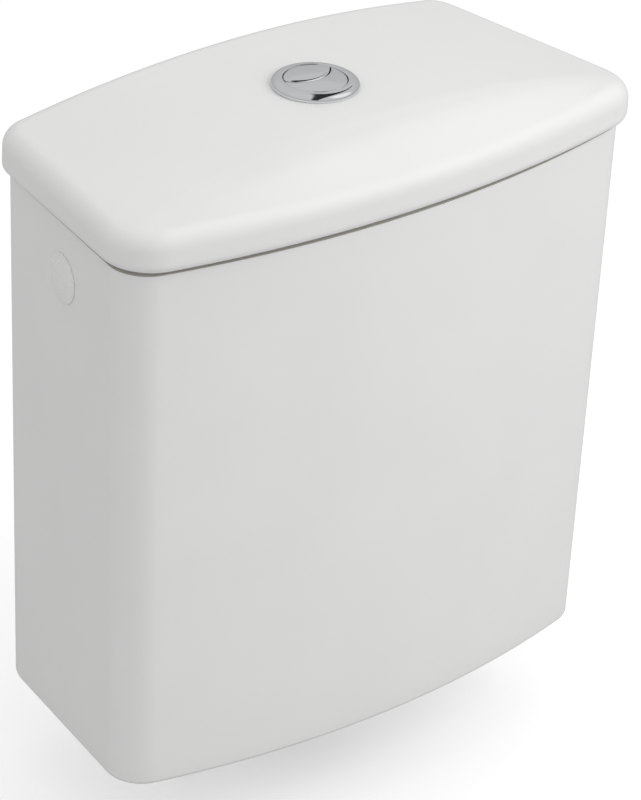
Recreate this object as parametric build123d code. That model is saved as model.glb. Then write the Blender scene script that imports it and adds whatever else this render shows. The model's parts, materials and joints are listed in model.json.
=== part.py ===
from build123d import *
from math import cos, degrees, hypot, pi, radians, sin, sqrt
import os

# Close-coupled cistern: china tank and lid, dual flush valve, side-entry fill valve.
# Millimetres. X to the right, Y to the back, Z up. The origin is on the outlet axis,
# in the plane of the tank's underside. All joints are drawn at rest, with the tank empty.

# Shared values
overrun = 1.0
running_gap = 0.05
loose_gap = 0.3
level_slack = 0.01

# Tank
tank_height = 346.0
tank_top_half_width = 192.0
tank_bottom_half_width = 183.0
tank_corner_line = 70.0
tank_back = 87.0
back_skim = 0.02
tank_bow = 25.5
side_taper = 28.5
tank_front_radius = 25.0
tank_back_radius_top = 20.0
tank_back_radius_bottom = 28.0
tank_wall = 10.0
tank_floor = 12.0
tank_inner_radius = 9.0
tank_bottom_edge_radius = 4.0
rim_edge_radius = 2.5
outlet_hole_radius = 31.0
wall_hole_radius = 4.0
wall_hole_spacing = 200.0
wall_hole_height = 306.0

# Side inlets, one on each side of the tank
inlet_height = 308.0
inlet_depth = 8.0
inlet_hole_radius = 12.0

# Lid
lid_half_width = 198.5
lid_corner_line = 76.0
lid_back = 86.5
lid_bow = 25.0
lid_front_radius = 31.0
lid_back_radius = 24.0
lid_crown_height = 41.7
lid_arch_rise = 18.7
lid_arch_inset = 2.5
lid_crease_height = 26.2
lid_fall_start = 55.5
lid_crease_front = 92.5
lid_crown_softness_share = 0.12
lid_crease_softness = 1.2
lid_lower_radius = 6.0
lid_upper_radius = 13.0
lid_thickness = 10.0
lid_lip_gap = 3.0
lid_lip_width = 7.0
lid_lip_depth = 8.0
lid_hole_radius = 22.5
lid_grid_count = 42
lid_grid_margin = 12.0

# Push-button group in the lid
ring_radius = 26.5
ring_height = 4.2
ring_rim_height = 0.8
ring_bore = 19.4
ring_lip_width = 1.0
sleeve_wall = 2.0
sleeve_flange_radius = 24.5
sleeve_flange = 1.5
sleeve_length = 36.0
guide_plate = 3.0
guide_plate_rise = 3.0
sleeve_nut_radius = 28.0
sleeve_nut_height = 8.0
sleeve_nut_wing = 4.0
button_radius = 19.0
button_rise = 4.6
button_depth = 9.0
button_wall = 1.6
button_top = 2.0
button_edge_radius = 0.6
button_travel = 7.0
split_radius = 20.8
split_centre = 18.8
split_gap = 0.8
full_rod_place = -10.0
half_rod_place = 9.0
rod_radius = 2.5
rod_boss_wall = 1.1
rod_boss_depth = 8.0
rod_tip_radius = 4.0
rod_tip_length = 16.0
rod_tip_cover = 12.0
rod_contact_gap = 0.4
spring_radius = 4.7
spring_wire_radius = 0.45
spring_turns = 6

# Flush valve
tail_radius = 29.0
tail_bore = 24.0
tail_bore_depth = 38.0
tail_length = 28.0
throat_radius = 22.5
base_gasket = 3.0
base_flange_radius = 43.0
base_flange = 4.0
seat_height = 26.0
seat_radius = 28.0
seat_lip_radius = 26.0
seat_lip_height = 2.0
backnut_radius = 41.0
backnut_height = 9.0
backnut_notch_radius = 5.0
backnut_notch_count = 8
pan_seal_radius = 52.0
pan_seal_height = 32.0
pan_seal_taper = 4.0
cage_radius = 40.0
cage_wall = 3.0
cage_height = 93.0
cage_top = 4.0
cage_collar_wall = 3.0
cage_collar_height = 10.0
cage_window_count = 8
cage_window_width = 18.0
cage_window_low = 14.0
cage_window_height = 58.0
tube_radius = 14.0
tube_wall = 2.0
tube_top = 274.0
seal_radius = 30.0
seal_thickness = 3.5
piston_radius = 28.0
piston_thickness = 4.0
piston_collar_wall = 3.0
piston_collar_height = 14.0
retainer_radius = 19.0
retainer_thickness = 3.5
float_radius = 21.0
float_low = 150.0
float_height = 40.0
float_edge_radius = 3.0
float_clip_wall = 2.5
float_clip_height = 6.0

# Tower, bridge and rockers above the flush valve
rail_place = 27.5
rail_width = 20.0
rail_thickness = 3.0
rail_hole_radius = 2.5
rail_hole_count = 8
rail_socket_wall = 2.5
rail_socket_height = 18.0
bridge_low = 286.0
bridge_thickness = 4.0
bridge_half_length = 30.0
bridge_window_length = 16.0
bridge_window_width = 9.0
ear_thickness = 3.0
ear_length = 10.0
ear_crown = 4.5
rocker_pivot_height = 303.0
rocker_pivot_place = 16.0
rocker_reach = 22.0
rocker_overhang = 3.0
rocker_width = 8.0
rocker_thickness = 5.0
rocker_boss_radius = 4.5
rocker_turn = 0.45
pin_radius = 1.5
pin_head = 1.0
yoke_low = 260.0
yoke_plate = 4.0
yoke_width = 32.0
yoke_collar_wall = 4.0
yoke_collar_height = 12.0
yoke_arm = 3.5
yoke_arm_width = 10.0
yoke_finger = 3.5
yoke_finger_reach = 8.0
yoke_gap = 0.4
yoke_side_gap = 2.0
yoke_free_lift = 11.0

# Coupling bolts
bolt_spacing = 160.0
bolt_hole_radius = 7.0
stud_radius = 4.0
stud_shank_radius = 3.6
stud_thread_gap = 1.0
stud_tip = 62.0
bolt_head_radius = 7.5
bolt_head_height = 5.5
bolt_seal_radius = 15.0
bolt_seal_thickness = 5.0
bolt_seal_spigot = 5.0
bolt_washer_radius = 13.0
bolt_washer = 1.5
bolt_nut_radius = 7.5
bolt_nut_height = 6.5
bolt_seal_gap = 0.2

# Side inlet cap
cap_radius = 15.5
cap_thickness = 3.5
cap_edge_radius = 1.5
cap_shank_radius = 10.4
cap_shank_length = 26.0
cap_washer = 2.0
cap_nut_radius = 17.0
cap_nut_height = 7.0

# Fill valve, measured from the outer side wall along the inlet's axis
shank_radius = 10.48
shank_length = 36.0
shank_thread_length = 23.0
shank_groove = 2.0
shank_groove_radius = 9.6
shank_bore = 6.0
inner_washer = 3.0
inner_washer_radius = 17.0
outer_washer = 1.5
fill_nut_radius = 17.3
fill_nut_height = 8.0
fill_flange = 4.0
fill_barrel_radius = 13.0
fill_barrel_length = 31.0
fill_cap_radius = 15.5
fill_cap_height = 12.0
fill_cap_rib_count = 12
fill_cap_rib_radius = 1.2
branch_place = 30.0
branch_radius = 8.0
branch_length = 24.0
branch_bore = 5.5
nozzle_place = 33.0
nozzle_radius = 3.5
arm_pivot_place = 43.5
arm_pivot_height = 24.0
arm_thickness = 5.0
arm_width = 8.0
arm_heel = 15.0
arm_reach = 61.0
arm_drop = 18.0
pad_thickness = 2.5
pad_radius = 3.5
fill_ear_length = 9.0
cup_place = 55.0
cup_radius = 21.0
cup_top = 16.0
cup_height = 42.0
cup_wall = 1.6
cup_edge_radius = 3.0
screw_radius = 2.5
screw_head_radius = 5.0
screw_head = 4.0
silencer_radius = 9.5
silencer_top = 14.0
silencer_length = 215.0

# Heights and places that follow from the sizes above
lid_top = tank_height + lid_crown_height
lid_arch_half_span = lid_half_width - lid_arch_inset
side_run = tank_corner_line + tank_back + back_skim
side_lean = tank_top_half_width - tank_bottom_half_width
wall_depth = tank_wall / sqrt(1 + (side_lean / tank_height) ** 2 / (1 + (side_taper / side_run) ** 2))
base_flange_low = tank_floor + base_gasket
base_flange_high = base_flange_low + base_flange
cage_high = base_flange_high + cage_height
bridge_high = bridge_low + bridge_thickness
rocker_high = rocker_pivot_height + rocker_thickness / 2
guide_low = lid_top - sleeve_length + guide_plate_rise
guide_high = guide_low + guide_plate
button_high = lid_top + button_rise
button_low = button_high - button_depth
button_ceiling = button_high - button_top
yoke_side = rocker_pivot_place + rocker_reach + rocker_overhang + yoke_side_gap


def rod(radius, low, high, x=0, y=0):
    """Upright cylinder from low to high."""
    return Pos(x, y, low) * Cylinder(radius, high - low, align=(Align.CENTER, Align.CENTER, Align.MIN))


def ring(outer, inner, low, high, x=0, y=0):
    """Upright tube from low to high."""
    return rod(outer, low, high, x, y) - rod(inner, low - overrun, high + overrun, x, y)


def block(x_low, x_high, y_low, y_high, z_low, z_high):
    """Box between two corners."""
    size = (x_high - x_low, y_high - y_low, z_high - z_low)
    return Pos(x_low, y_low, z_low) * Box(*size, align=(Align.MIN, Align.MIN, Align.MIN))


def hexagon(radius, low, high, x=0, y=0):
    """Upright hexagonal prism with its corners on the radius."""
    return Pos(x, y, low) * extrude(RegularPolygon(radius, 6), amount=high - low)


def turned(*points):
    """Solid turned about Z from (radius, height) points."""
    return revolve(Plane.XZ * make_face(Polyline(*points, close=True)), axis=Axis.Z)


def rounded_at(solid, z, radius):
    """Rounds the edges of a solid that lie flat at a height."""
    return fillet(solid.edges().filter_by_position(Axis.Z, z - level_slack, z + level_slack), radius)


def between(low, high, share):
    """Value a share of the way from low to high."""
    return low + (high - low) * share


def inset(face, distance):
    """The outline drawn in by a distance."""
    return offset(face, amount=-distance, kind=Kind.ARC).face()


def plan_outline(z, half_width, corner_line, back, bow, front_radius, back_radius):
    """Plan outline at height z: bowed front, tapered sides, straight back."""
    back_half_width = half_width - side_taper
    with BuildSketch(Plane.XY.offset(z)) as sketch:
        with BuildLine():
            ThreePointArc((-half_width, -corner_line), (0, -corner_line - bow), (half_width, -corner_line))
            Polyline(
                (half_width, -corner_line),
                (back_half_width, back),
                (-back_half_width, back),
                (-half_width, -corner_line),
            )
        make_face()
        fillet(sketch.vertices().group_by(Axis.Y)[0], front_radius)
        fillet(sketch.vertices().group_by(Axis.Y)[-1], back_radius)
    return sketch.sketch.face()


def tank_plan(z):
    """The tank's outer outline at height z."""
    share = z / tank_height
    half_width = between(tank_bottom_half_width, tank_top_half_width, share)
    back_radius = between(tank_back_radius_bottom, tank_back_radius_top, share)
    back = tank_back + back_skim
    return plan_outline(z, half_width, tank_corner_line, back, tank_bow, tank_front_radius, back_radius)


def inlet_frame(side):
    """Frame on the outer side wall at an inlet: X straight out of the wall, Y level."""
    outward = Vector(side, side_taper / side_run, -side_lean / tank_height).normalized()
    level = Vector(0, 0, 1).cross(outward).normalized()
    taper_share = (inlet_depth + tank_corner_line) / side_run
    lean_share = 1 - inlet_height / tank_height
    x = tank_top_half_width - side_taper * taper_share - side_lean * lean_share
    return Plane((side * x, inlet_depth, inlet_height), x_dir=outward, z_dir=outward.cross(level))


def at_inlet(side, shape):
    """Places a shape that is drawn in an inlet's frame."""
    return inlet_frame(side).location * shape


def along_inlet(shape):
    """Turns an upright shape so that its height runs along the inlet's X axis."""
    return Rot(0, 90, 0) * shape


def make_tank():
    """Open china box with a bowed front, pierced for outlet, bolts, inlets and wall screws."""
    outer = loft([tank_plan(0), tank_plan(tank_height)], ruled=True)
    outer = rounded_at(outer, 0, tank_bottom_edge_radius)
    outer = rounded_at(outer, tank_height, rim_edge_radius)
    reach = tank_top_half_width + overrun
    outer -= block(-reach, reach, tank_back, tank_back + overrun, -overrun, tank_height + overrun)
    floor_plan = inset(tank_plan(tank_floor), tank_wall)
    mouth_plan = inset(tank_plan(tank_height + overrun), tank_wall)
    cavity = rounded_at(loft([floor_plan, mouth_plan], ruled=True), tank_floor, tank_inner_radius)
    tank = outer - cavity
    tank -= rod(outlet_hole_radius, -overrun, tank_floor + overrun)
    for side in (-1, 1):
        tank -= rod(bolt_hole_radius, -overrun, tank_floor + overrun, x=side * bolt_spacing / 2)
        tank -= at_inlet(side, along_inlet(rod(inlet_hole_radius, -tank_wall - overrun, overrun)))
        hole = Rot(-90, 0, 0) * rod(wall_hole_radius, tank_back - tank_wall - overrun, tank_back + overrun)
        tank -= Pos(side * wall_hole_spacing / 2, 0, wall_hole_height) * hole
    return tank


def soft_part(value, width):
    """The value's positive part, with its corner at zero softened over the width."""
    return (value + sqrt(value * value + width * width)) / 2


def lid_height(x, y):
    """Height of the lid's upper face: an arch across the width that falls to the bowed front."""
    bulge = (x / lid_arch_half_span) ** 2
    arch = lid_top - lid_arch_rise * bulge
    fall = soft_part(arch - tank_height - lid_crease_height, lid_crease_softness)
    crease = lid_crease_front - lid_bow * bulge
    run_share = soft_part((-lid_fall_start - y) / (crease - lid_fall_start), lid_crown_softness_share)
    return arch - fall * run_share


def below_lid_surface(drop):
    """Everything under the lid's upper face lowered by the drop."""
    reach = lid_half_width + lid_grid_margin
    front = -lid_corner_line - lid_bow - lid_grid_margin
    back = lid_back + lid_grid_margin
    points = []
    for i in range(lid_grid_count):
        x = between(-reach, reach, i / (lid_grid_count - 1))
        column = []
        for j in range(lid_grid_count):
            y = between(front, back, j / (lid_grid_count - 1))
            column.append(Vector(x, y, lid_height(x, y) - drop))
        points.append(column)
    surface = Face.make_surface_from_array_of_points(points, tol=0.02, min_deg=3, max_deg=5)
    return Solid.extrude(surface, Vector(0, 0, -2 * lid_crown_height))


def make_lid():
    """Crowned china lid with a bull-nosed edge, hollow below, located by a lip inside the rim."""
    outline = plan_outline(
        tank_height, lid_half_width, lid_corner_line, lid_back, lid_bow, lid_front_radius, lid_back_radius
    )
    lid = extrude(outline, amount=2 * lid_crown_height) & below_lid_surface(0)
    lid = rounded_at(lid, tank_height, lid_lower_radius)
    lid = fillet(lid.faces().sort_by(Axis.Z)[-1].edges(), lid_upper_radius)
    lip_outline = inset(tank_plan(tank_height), tank_wall + lid_lip_gap)
    low = tank_height - lid_lip_depth
    lid += Pos(0, 0, -lid_lip_depth) * extrude(lip_outline, amount=lid_lip_depth + overrun)
    hollow_outline = inset(tank_plan(tank_height), tank_wall + lid_lip_gap + lid_lip_width)
    hollow = Pos(0, 0, low - overrun - tank_height) * extrude(hollow_outline, amount=lid_top - low)
    lid -= hollow & below_lid_surface(lid_thickness)
    return lid - rod(lid_hole_radius, low, lid_top + overrun)


def make_button_ring():
    """Chromed ring that lies on the lid round the buttons, domed from its rim to its bore."""
    high = lid_top + ring_height
    rim = lid_top + ring_rim_height
    middle = between(ring_bore, ring_radius, cos(radians(45)))
    crown = between(rim, high, sin(radians(45)))
    with BuildSketch(Plane.XZ) as profile:
        with BuildLine():
            Line((ring_bore, lid_top + sleeve_flange), (ring_bore, high - ring_rim_height))
            Line((ring_bore, high - ring_rim_height), (ring_bore + ring_lip_width, high))
            ThreePointArc((ring_bore + ring_lip_width, high), (middle, crown), (ring_radius, rim))
            Polyline(
                (ring_radius, rim),
                (ring_radius, lid_top),
                (sleeve_flange_radius + running_gap, lid_top),
                (sleeve_flange_radius + running_gap, lid_top + sleeve_flange),
                (ring_bore, lid_top + sleeve_flange),
            )
        make_face()
    return revolve(profile.sketch, axis=Axis.Z)


def make_threaded_sleeve():
    """Sleeve through the lid: flange on top, guide plate for the two rods near its foot."""
    outer = ring_bore + sleeve_wall
    sleeve = ring(outer, ring_bore, lid_top - sleeve_length, lid_top + sleeve_flange)
    sleeve += ring(sleeve_flange_radius, ring_bore, lid_top, lid_top + sleeve_flange)
    sleeve += rod(ring_bore + sleeve_wall / 2, guide_low, guide_high)
    for place in (full_rod_place, half_rod_place):
        sleeve -= rod(rod_radius + loose_gap, guide_low - overrun, guide_high + overrun, y=place)
    return sleeve


def make_sleeve_nut():
    """Winged nut that draws the sleeve against the lid from below."""
    high = lid_height(sleeve_nut_radius, 0) - lid_thickness
    low = high - sleeve_nut_height
    bore = ring_bore + sleeve_wall + running_gap
    nut = ring(sleeve_nut_radius, bore, low + sleeve_nut_height / 2, high)
    nut += ring(bore + sleeve_nut_wing, bore, low, high)
    for turn in range(4):
        wing = block(
            bore + running_gap, sleeve_nut_radius, -sleeve_nut_wing / 2, sleeve_nut_wing / 2, low, high
        )
        nut += Rot(0, 0, 90 * turn) * wing
    return nut


def button_plans():
    """Plans of the full-flush crescent and the half-flush lens, split by an arc."""
    disc = Circle(button_radius)
    full = disc - Pos(0, split_centre) * Circle(split_radius + split_gap / 2)
    half = disc & Pos(0, split_centre) * Circle(split_radius - split_gap / 2)
    return full.face(), half.face()


def make_button(plan, place):
    """Button cap, hollow below, with a boss that grips the top of its rod."""
    cap = Pos(0, 0, button_low) * extrude(plan, amount=button_depth)
    cap = rounded_at(cap, button_high, button_edge_radius)
    hollow = extrude(inset(plan, button_wall), amount=button_depth - button_top)
    cap -= Pos(0, 0, button_low) * hollow
    boss_low = button_ceiling - rod_boss_depth
    grip = rod_radius + running_gap
    cap += rod(grip + rod_boss_wall, boss_low, button_ceiling + button_top / 2, y=place)
    return cap - rod(grip, boss_low - overrun, button_ceiling, y=place)


def make_push_rod(place):
    """Rod from the button's ceiling down into its tip."""
    return rod(rod_radius, rocker_high + rod_contact_gap + rod_tip_length - rod_tip_cover, button_ceiling, y=place)


def make_rod_tip(place):
    """Screwed tip with a rounded foot, blind bore for the rod."""
    low = rocker_high + rod_contact_gap
    tip = rounded_at(rod(rod_tip_radius, low, low + rod_tip_length, y=place), low, rod_tip_radius - loose_gap)
    bore_low = low + rod_tip_length - rod_tip_cover
    return tip - rod(rod_radius + running_gap, bore_low, low + rod_tip_length + overrun, y=place)


def make_button_spring(place):
    """Return spring round a rod, from the guide plate to the button's ceiling."""
    low = guide_high + spring_wire_radius
    height = button_ceiling - spring_wire_radius - low
    path = Helix(pitch=height / spring_turns, height=height, radius=spring_radius)
    start = Plane(path @ 0, z_dir=path % 0)
    return Pos(0, place, low) * sweep(start * Circle(spring_wire_radius), path, is_frenet=True)


def make_valve_base():
    """Flush valve's body: threaded tail, clamping flange and raised seat."""
    return turned(
        (tail_bore, -tail_length),
        (tail_radius, -tail_length),
        (tail_radius, base_flange_low),
        (base_flange_radius, base_flange_low),
        (base_flange_radius, base_flange_high),
        (seat_radius, base_flange_high),
        (seat_radius, seat_height - seat_lip_height),
        (seat_lip_radius, seat_height),
        (throat_radius, seat_height),
        (throat_radius, tail_bore_depth - tail_length),
        (tail_bore, tail_bore_depth - tail_length),
    )


def make_base_gasket():
    """Rubber washer between the valve's flange and the tank's floor."""
    return ring(base_flange_radius, tail_radius + loose_gap, tank_floor, base_flange_low)


def make_backnut():
    """Large nut under the tank with grip notches round its edge."""
    nut = ring(backnut_radius, tail_radius + running_gap, -backnut_height, 0)
    for notch in range(backnut_notch_count):
        cut = rod(backnut_notch_radius, -backnut_height - overrun, overrun, x=backnut_radius)
        nut -= Rot(0, 0, notch * 360 / backnut_notch_count) * cut
    return nut


def make_pan_seal():
    """Thick foam ring over the backnut, tapered towards its foot."""
    recess = backnut_radius + loose_gap
    hole = tail_radius + loose_gap
    ledge = -backnut_height - loose_gap
    return turned(
        (recess, 0),
        (pan_seal_radius, 0),
        (pan_seal_radius, -pan_seal_height / 2),
        (pan_seal_radius - pan_seal_taper, -pan_seal_height),
        (hole, -pan_seal_height),
        (hole, ledge),
        (recess, ledge),
    )


def make_valve_cage():
    """Windowed cage on the valve's flange, with a guide for the tube and sockets for the rails."""
    cage = ring(cage_radius, cage_radius - cage_wall, base_flange_high, cage_high)
    cage += rod(cage_radius - cage_wall / 2, cage_high - cage_top, cage_high)
    cage += rod(tube_radius + loose_gap + cage_collar_wall, cage_high - cage_top, cage_high + cage_collar_height)
    cage -= rod(tube_radius + loose_gap, cage_high - cage_top - overrun, cage_high + cage_collar_height + overrun)
    low = base_flange_high + cage_window_low
    window = block(0, cage_radius + overrun, -cage_window_width / 2, cage_window_width / 2, low, low + cage_window_height)
    for turn in range(cage_window_count):
        inside = cage_radius - cage_wall - overrun
        cage -= Rot(0, 0, (turn + 0.5) * 360 / cage_window_count) * Pos(inside, 0, 0) * window
    for side in (-1, 1):
        cage += rail_socket(side)
    return cage


def rail_socket(side):
    """Upright pocket on the cage's top that holds a rail's foot."""
    half_width = rail_width / 2 + loose_gap
    half_depth = rail_thickness / 2 + loose_gap
    wall = rail_socket_wall
    low, high = cage_high - cage_top / 2, cage_high + rail_socket_height
    outer = block(-half_width - wall, half_width + wall, -half_depth - wall, half_depth + wall, low, high)
    pocket = block(-half_width, half_width, -half_depth, half_depth, cage_high, high + overrun)
    return Pos(0, side * rail_place, 0) * (outer - pocket)


def make_tower_rails():
    """Two upright rails with a row of setting holes, from the cage to the bridge."""
    rails = []
    length = bridge_low - cage_high
    for side in (-1, 1):
        y = side * rail_place
        rail = block(
            -rail_width / 2, rail_width / 2, y - rail_thickness / 2, y + rail_thickness / 2, cage_high, bridge_low
        )
        for hole in range(rail_hole_count):
            height = cage_high + length * (hole + 1) / (rail_hole_count + 1)
            cut = Rot(90, 0, 0) * rod(rail_hole_radius, -rail_place - rail_width, rail_place + rail_width)
            rail -= Pos(0, 0, height) * cut
        rails.append(rail)
    return Compound(children=rails)


def rocker_sides():
    """Each rocker's side of the tower and the place of its rod: full flush, then half flush."""
    return ((1, full_rod_place), (-1, half_rod_place))


def make_bridge():
    """Bridge plate on the rails with a pair of ears for each rocker."""
    half_depth = rail_place + rail_thickness
    bridge = block(-bridge_half_length, bridge_half_length, -half_depth, half_depth, bridge_low, bridge_high)
    for side, place in rocker_sides():
        window = block(
            -bridge_window_length / 2, bridge_window_length / 2,
            place - bridge_window_width / 2, place + bridge_window_width / 2,
            bridge_low - overrun, bridge_high + overrun,
        )
        bridge -= window
        for ear_side in (-1, 1):
            near = rocker_width / 2 + loose_gap
            ys = sorted((place + ear_side * near, place + ear_side * (near + ear_thickness)))
            x = side * rocker_pivot_place
            high = rocker_pivot_height + ear_crown
            bridge += block(
                x - ear_length / 2, x + ear_length / 2, ys[0], ys[1], bridge_high - bridge_thickness / 2, high
            )
        bore = Rot(90, 0, 0) * rod(pin_radius + running_gap, -rail_place, rail_place)
        bridge -= Pos(side * rocker_pivot_place, place, rocker_pivot_height) * bore
    return bridge


def make_rocker_pins():
    """Headed pin through each pair of ears."""
    pins = []
    half = rocker_width / 2 + loose_gap + ear_thickness
    for side, place in rocker_sides():
        pin = rod(pin_radius, -half, half + pin_head)
        pin += rod(pin_radius + pin_head, half, half + pin_head)
        pins.append(Pos(side * rocker_pivot_place, place, rocker_pivot_height) * Rot(90 * side, 0, 0) * pin)
    return Compound(children=pins)


def make_rocker(side, place):
    """Rocker from under its push rod, over its pin, out to the yoke."""
    inner = -rod_tip_radius
    outer = rocker_pivot_place + rocker_reach + rocker_overhang
    low = rocker_pivot_height - rocker_thickness / 2
    bar = block(inner, outer, -rocker_width / 2, rocker_width / 2, low, rocker_high)
    bar = fillet(bar.edges().filter_by(Axis.Y), rocker_thickness / 4)
    lying = Rot(90, 0, 0)
    boss = lying * rod(rocker_boss_radius, -rocker_width / 2, rocker_width / 2)
    bore = lying * rod(pin_radius + running_gap, -rocker_width, rocker_width)
    at_pin = Pos(rocker_pivot_place, 0, rocker_pivot_height)
    rocker = bar + at_pin * boss - at_pin * bore
    if side < 0:
        rocker = mirror(rocker, about=Plane.YZ)
    return Pos(0, place, 0) * rocker


def make_lift_yoke():
    """Yoke on the overflow tube, with an arm and a finger over the outer end of each rocker."""
    high = yoke_low + yoke_plate
    edge = yoke_side + yoke_arm
    yoke = block(-edge, edge, -yoke_width / 2, yoke_width / 2, yoke_low, high)
    yoke += rod(tube_radius + yoke_collar_wall, high - yoke_collar_height, high)
    for side, place in rocker_sides():
        lift = yoke_gap if side > 0 else yoke_free_lift
        finger = rocker_high + lift
        ys = (place - yoke_arm_width / 2, place + yoke_arm_width / 2)
        xs = sorted((side * yoke_side, side * edge))
        yoke += block(xs[0], xs[1], ys[0], ys[1], yoke_low, finger + yoke_finger)
        xs = sorted((side * (yoke_side - yoke_finger_reach), side * edge))
        yoke += block(xs[0], xs[1], ys[0], ys[1], finger, finger + yoke_finger)
    return yoke - rod(tube_radius + running_gap, yoke_low - yoke_collar_height, high + overrun)


def make_overflow_tube():
    """Tube that carries the seal and spills any overfill straight to the outlet."""
    return ring(tube_radius, tube_radius - tube_wall, seat_height - retainer_thickness, tube_top)


def make_piston():
    """Plate and collar that press the seal down, fixed on the tube."""
    low = seat_height + seal_thickness
    piston = rod(piston_radius, low, low + piston_thickness)
    piston += rod(tube_radius + piston_collar_wall, low, low + piston_collar_height)
    return piston - rod(tube_radius + running_gap, low - overrun, low + piston_collar_height + overrun)


def make_flush_seal():
    """Rubber disc on the seat."""
    return ring(seal_radius, tube_radius + running_gap, seat_height, seat_height + seal_thickness)


def make_seal_retainer():
    """Ring under the seal that holds it on the tube."""
    return ring(retainer_radius, tube_radius + running_gap, seat_height - retainer_thickness, seat_height)


def make_flush_float():
    """Float round the tube that sets when the valve closes."""
    body = ring(float_radius, tube_radius + running_gap, float_low, float_low + float_height)
    edges = [edge for edge in body.edges().filter_by(GeomType.CIRCLE) if edge.radius > float_radius - overrun]
    return fillet(edges, float_edge_radius)


def make_float_clip():
    """Split-free clip ring under the float."""
    return ring(tube_radius + float_clip_wall, tube_radius + running_gap, float_low - float_clip_height, float_low)


def bolt_places():
    """X of the two coupling bolts."""
    return (-bolt_spacing / 2, bolt_spacing / 2)


def make_coupling_bolts():
    """Two studs with hexagonal heads inside the tank, rolled thread below a thinner shank."""
    head = tank_floor + bolt_seal_thickness + bolt_washer
    thread_high = -bolt_washer - bolt_nut_height - stud_thread_gap
    bolts = []
    for x in bolt_places():
        shank = rod(stud_shank_radius, thread_high - overrun, head + bolt_head_height / 2, x=x)
        shank += rod(stud_radius, -stud_tip, thread_high, x=x)
        bolts.append(shank + hexagon(bolt_head_radius, head, head + bolt_head_height, x=x))
    return Compound(children=bolts)


def make_bolt_seals():
    """Rubber washers inside the tank, each with a spigot in its hole."""
    seals = []
    for x in bolt_places():
        seal = rod(bolt_seal_radius, tank_floor, tank_floor + bolt_seal_thickness, x=x)
        seal += rod(bolt_hole_radius - loose_gap, tank_floor - bolt_seal_spigot, tank_floor + overrun, x=x)
        bore = rod(stud_radius + bolt_seal_gap, -overrun, tank_floor + bolt_seal_thickness + overrun, x=x)
        seals.append(seal - bore)
    return Compound(children=seals)


def make_bolt_washers():
    """Steel washers above the seals and under the tank."""
    washers = []
    high = tank_floor + bolt_seal_thickness
    for x in bolt_places():
        for low in (high, -bolt_washer):
            washers.append(ring(bolt_washer_radius, stud_radius + bolt_seal_gap, low, low + bolt_washer, x=x))
    return Compound(children=washers)


def make_bolt_nuts():
    """Nuts that clamp the studs to the tank's underside."""
    nuts = []
    high = -bolt_washer
    for x in bolt_places():
        nut = hexagon(bolt_nut_radius, high - bolt_nut_height, high, x=x)
        bore = rod(stud_shank_radius + running_gap, high - bolt_nut_height - overrun, high + overrun, x=x)
        nuts.append(nut - bore)
    return Compound(children=nuts)


def make_inlet_cap():
    """Plug in the spare inlet: thin domed head outside, shank through the wall."""
    head = rounded_at(rod(cap_radius, 0, cap_thickness), cap_thickness, cap_edge_radius)
    return at_inlet(-1, along_inlet(head + rod(cap_shank_radius, -cap_shank_length, overrun)))


def make_cap_washer():
    """Rubber washer of the spare inlet's plug, inside the tank."""
    low = -wall_depth - cap_washer
    return at_inlet(-1, along_inlet(ring(cap_radius, cap_shank_radius + running_gap, low, -wall_depth)))


def make_cap_nut():
    """Plastic nut of the spare inlet's plug, inside the tank."""
    high = -wall_depth - cap_washer
    low = high - cap_nut_height
    nut = hexagon(cap_nut_radius, low, high)
    nut -= rod(cap_shank_radius + running_gap, low - overrun, high + overrun)
    return at_inlet(-1, along_inlet(nut))


def make_fill_body():
    """Fill valve's body: inlet shank, flange, barrel, outlet branch, nozzle and pivot ears."""
    flange_high = -wall_depth - inner_washer
    flange_low = flange_high - fill_flange
    barrel_low = flange_low - fill_barrel_length
    groove_high = shank_length - shank_thread_length
    body = rod(shank_radius, flange_low, shank_length)
    body -= ring(shank_radius + overrun, shank_groove_radius, groove_high - shank_groove, groove_high)
    body += rod(inner_washer_radius, flange_low, flange_high)
    body += rod(fill_barrel_radius, barrel_low, flange_low)
    body = along_inlet(body)
    body += rod(branch_radius, -branch_length, 0, x=-branch_place)
    nozzle_high = arm_pivot_height - arm_thickness / 2 - pad_thickness
    body += rod(nozzle_radius, 0, nozzle_high, x=-nozzle_place)
    for side in (-1, 1):
        near = arm_width / 2 + loose_gap
        ys = sorted((side * near, side * (near + ear_thickness)))
        middle = -arm_pivot_place
        high = arm_pivot_height + ear_crown
        half = fill_ear_length / 2
        body += block(middle - half, middle + half, ys[0], ys[1], fill_barrel_radius / 2, high)
    body -= along_inlet(rod(shank_bore, -branch_place - shank_bore, shank_length + overrun))
    body -= rod(branch_bore, -branch_length - overrun, 0, x=-branch_place)
    bore = Rot(90, 0, 0) * rod(pin_radius + running_gap, -fill_barrel_radius, fill_barrel_radius)
    body -= Pos(-arm_pivot_place, 0, arm_pivot_height) * bore
    return at_inlet(1, body)


def make_fill_cap():
    """Ribbed cap screwed on the end of the fill valve's barrel."""
    high = -wall_depth - inner_washer - fill_flange - fill_barrel_length
    low = high - fill_cap_height
    cap = rod(fill_cap_radius - fill_cap_rib_radius, low, high)
    for rib in range(fill_cap_rib_count):
        bar = rod(fill_cap_rib_radius, low, high, x=fill_cap_radius - fill_cap_rib_radius)
        cap += Rot(0, 0, (rib + 0.5) * 360 / fill_cap_rib_count) * bar
    return at_inlet(1, along_inlet(cap))


def make_fill_inner_washer():
    """Rubber washer between the fill valve's flange and the inner wall."""
    low = -wall_depth - inner_washer
    return at_inlet(1, along_inlet(ring(inner_washer_radius, shank_radius + running_gap, low, -wall_depth)))


def make_fill_outer_washer():
    """Washer between the backnut and the outer wall."""
    return at_inlet(1, along_inlet(ring(inner_washer_radius, shank_radius + running_gap, 0, outer_washer)))


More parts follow.
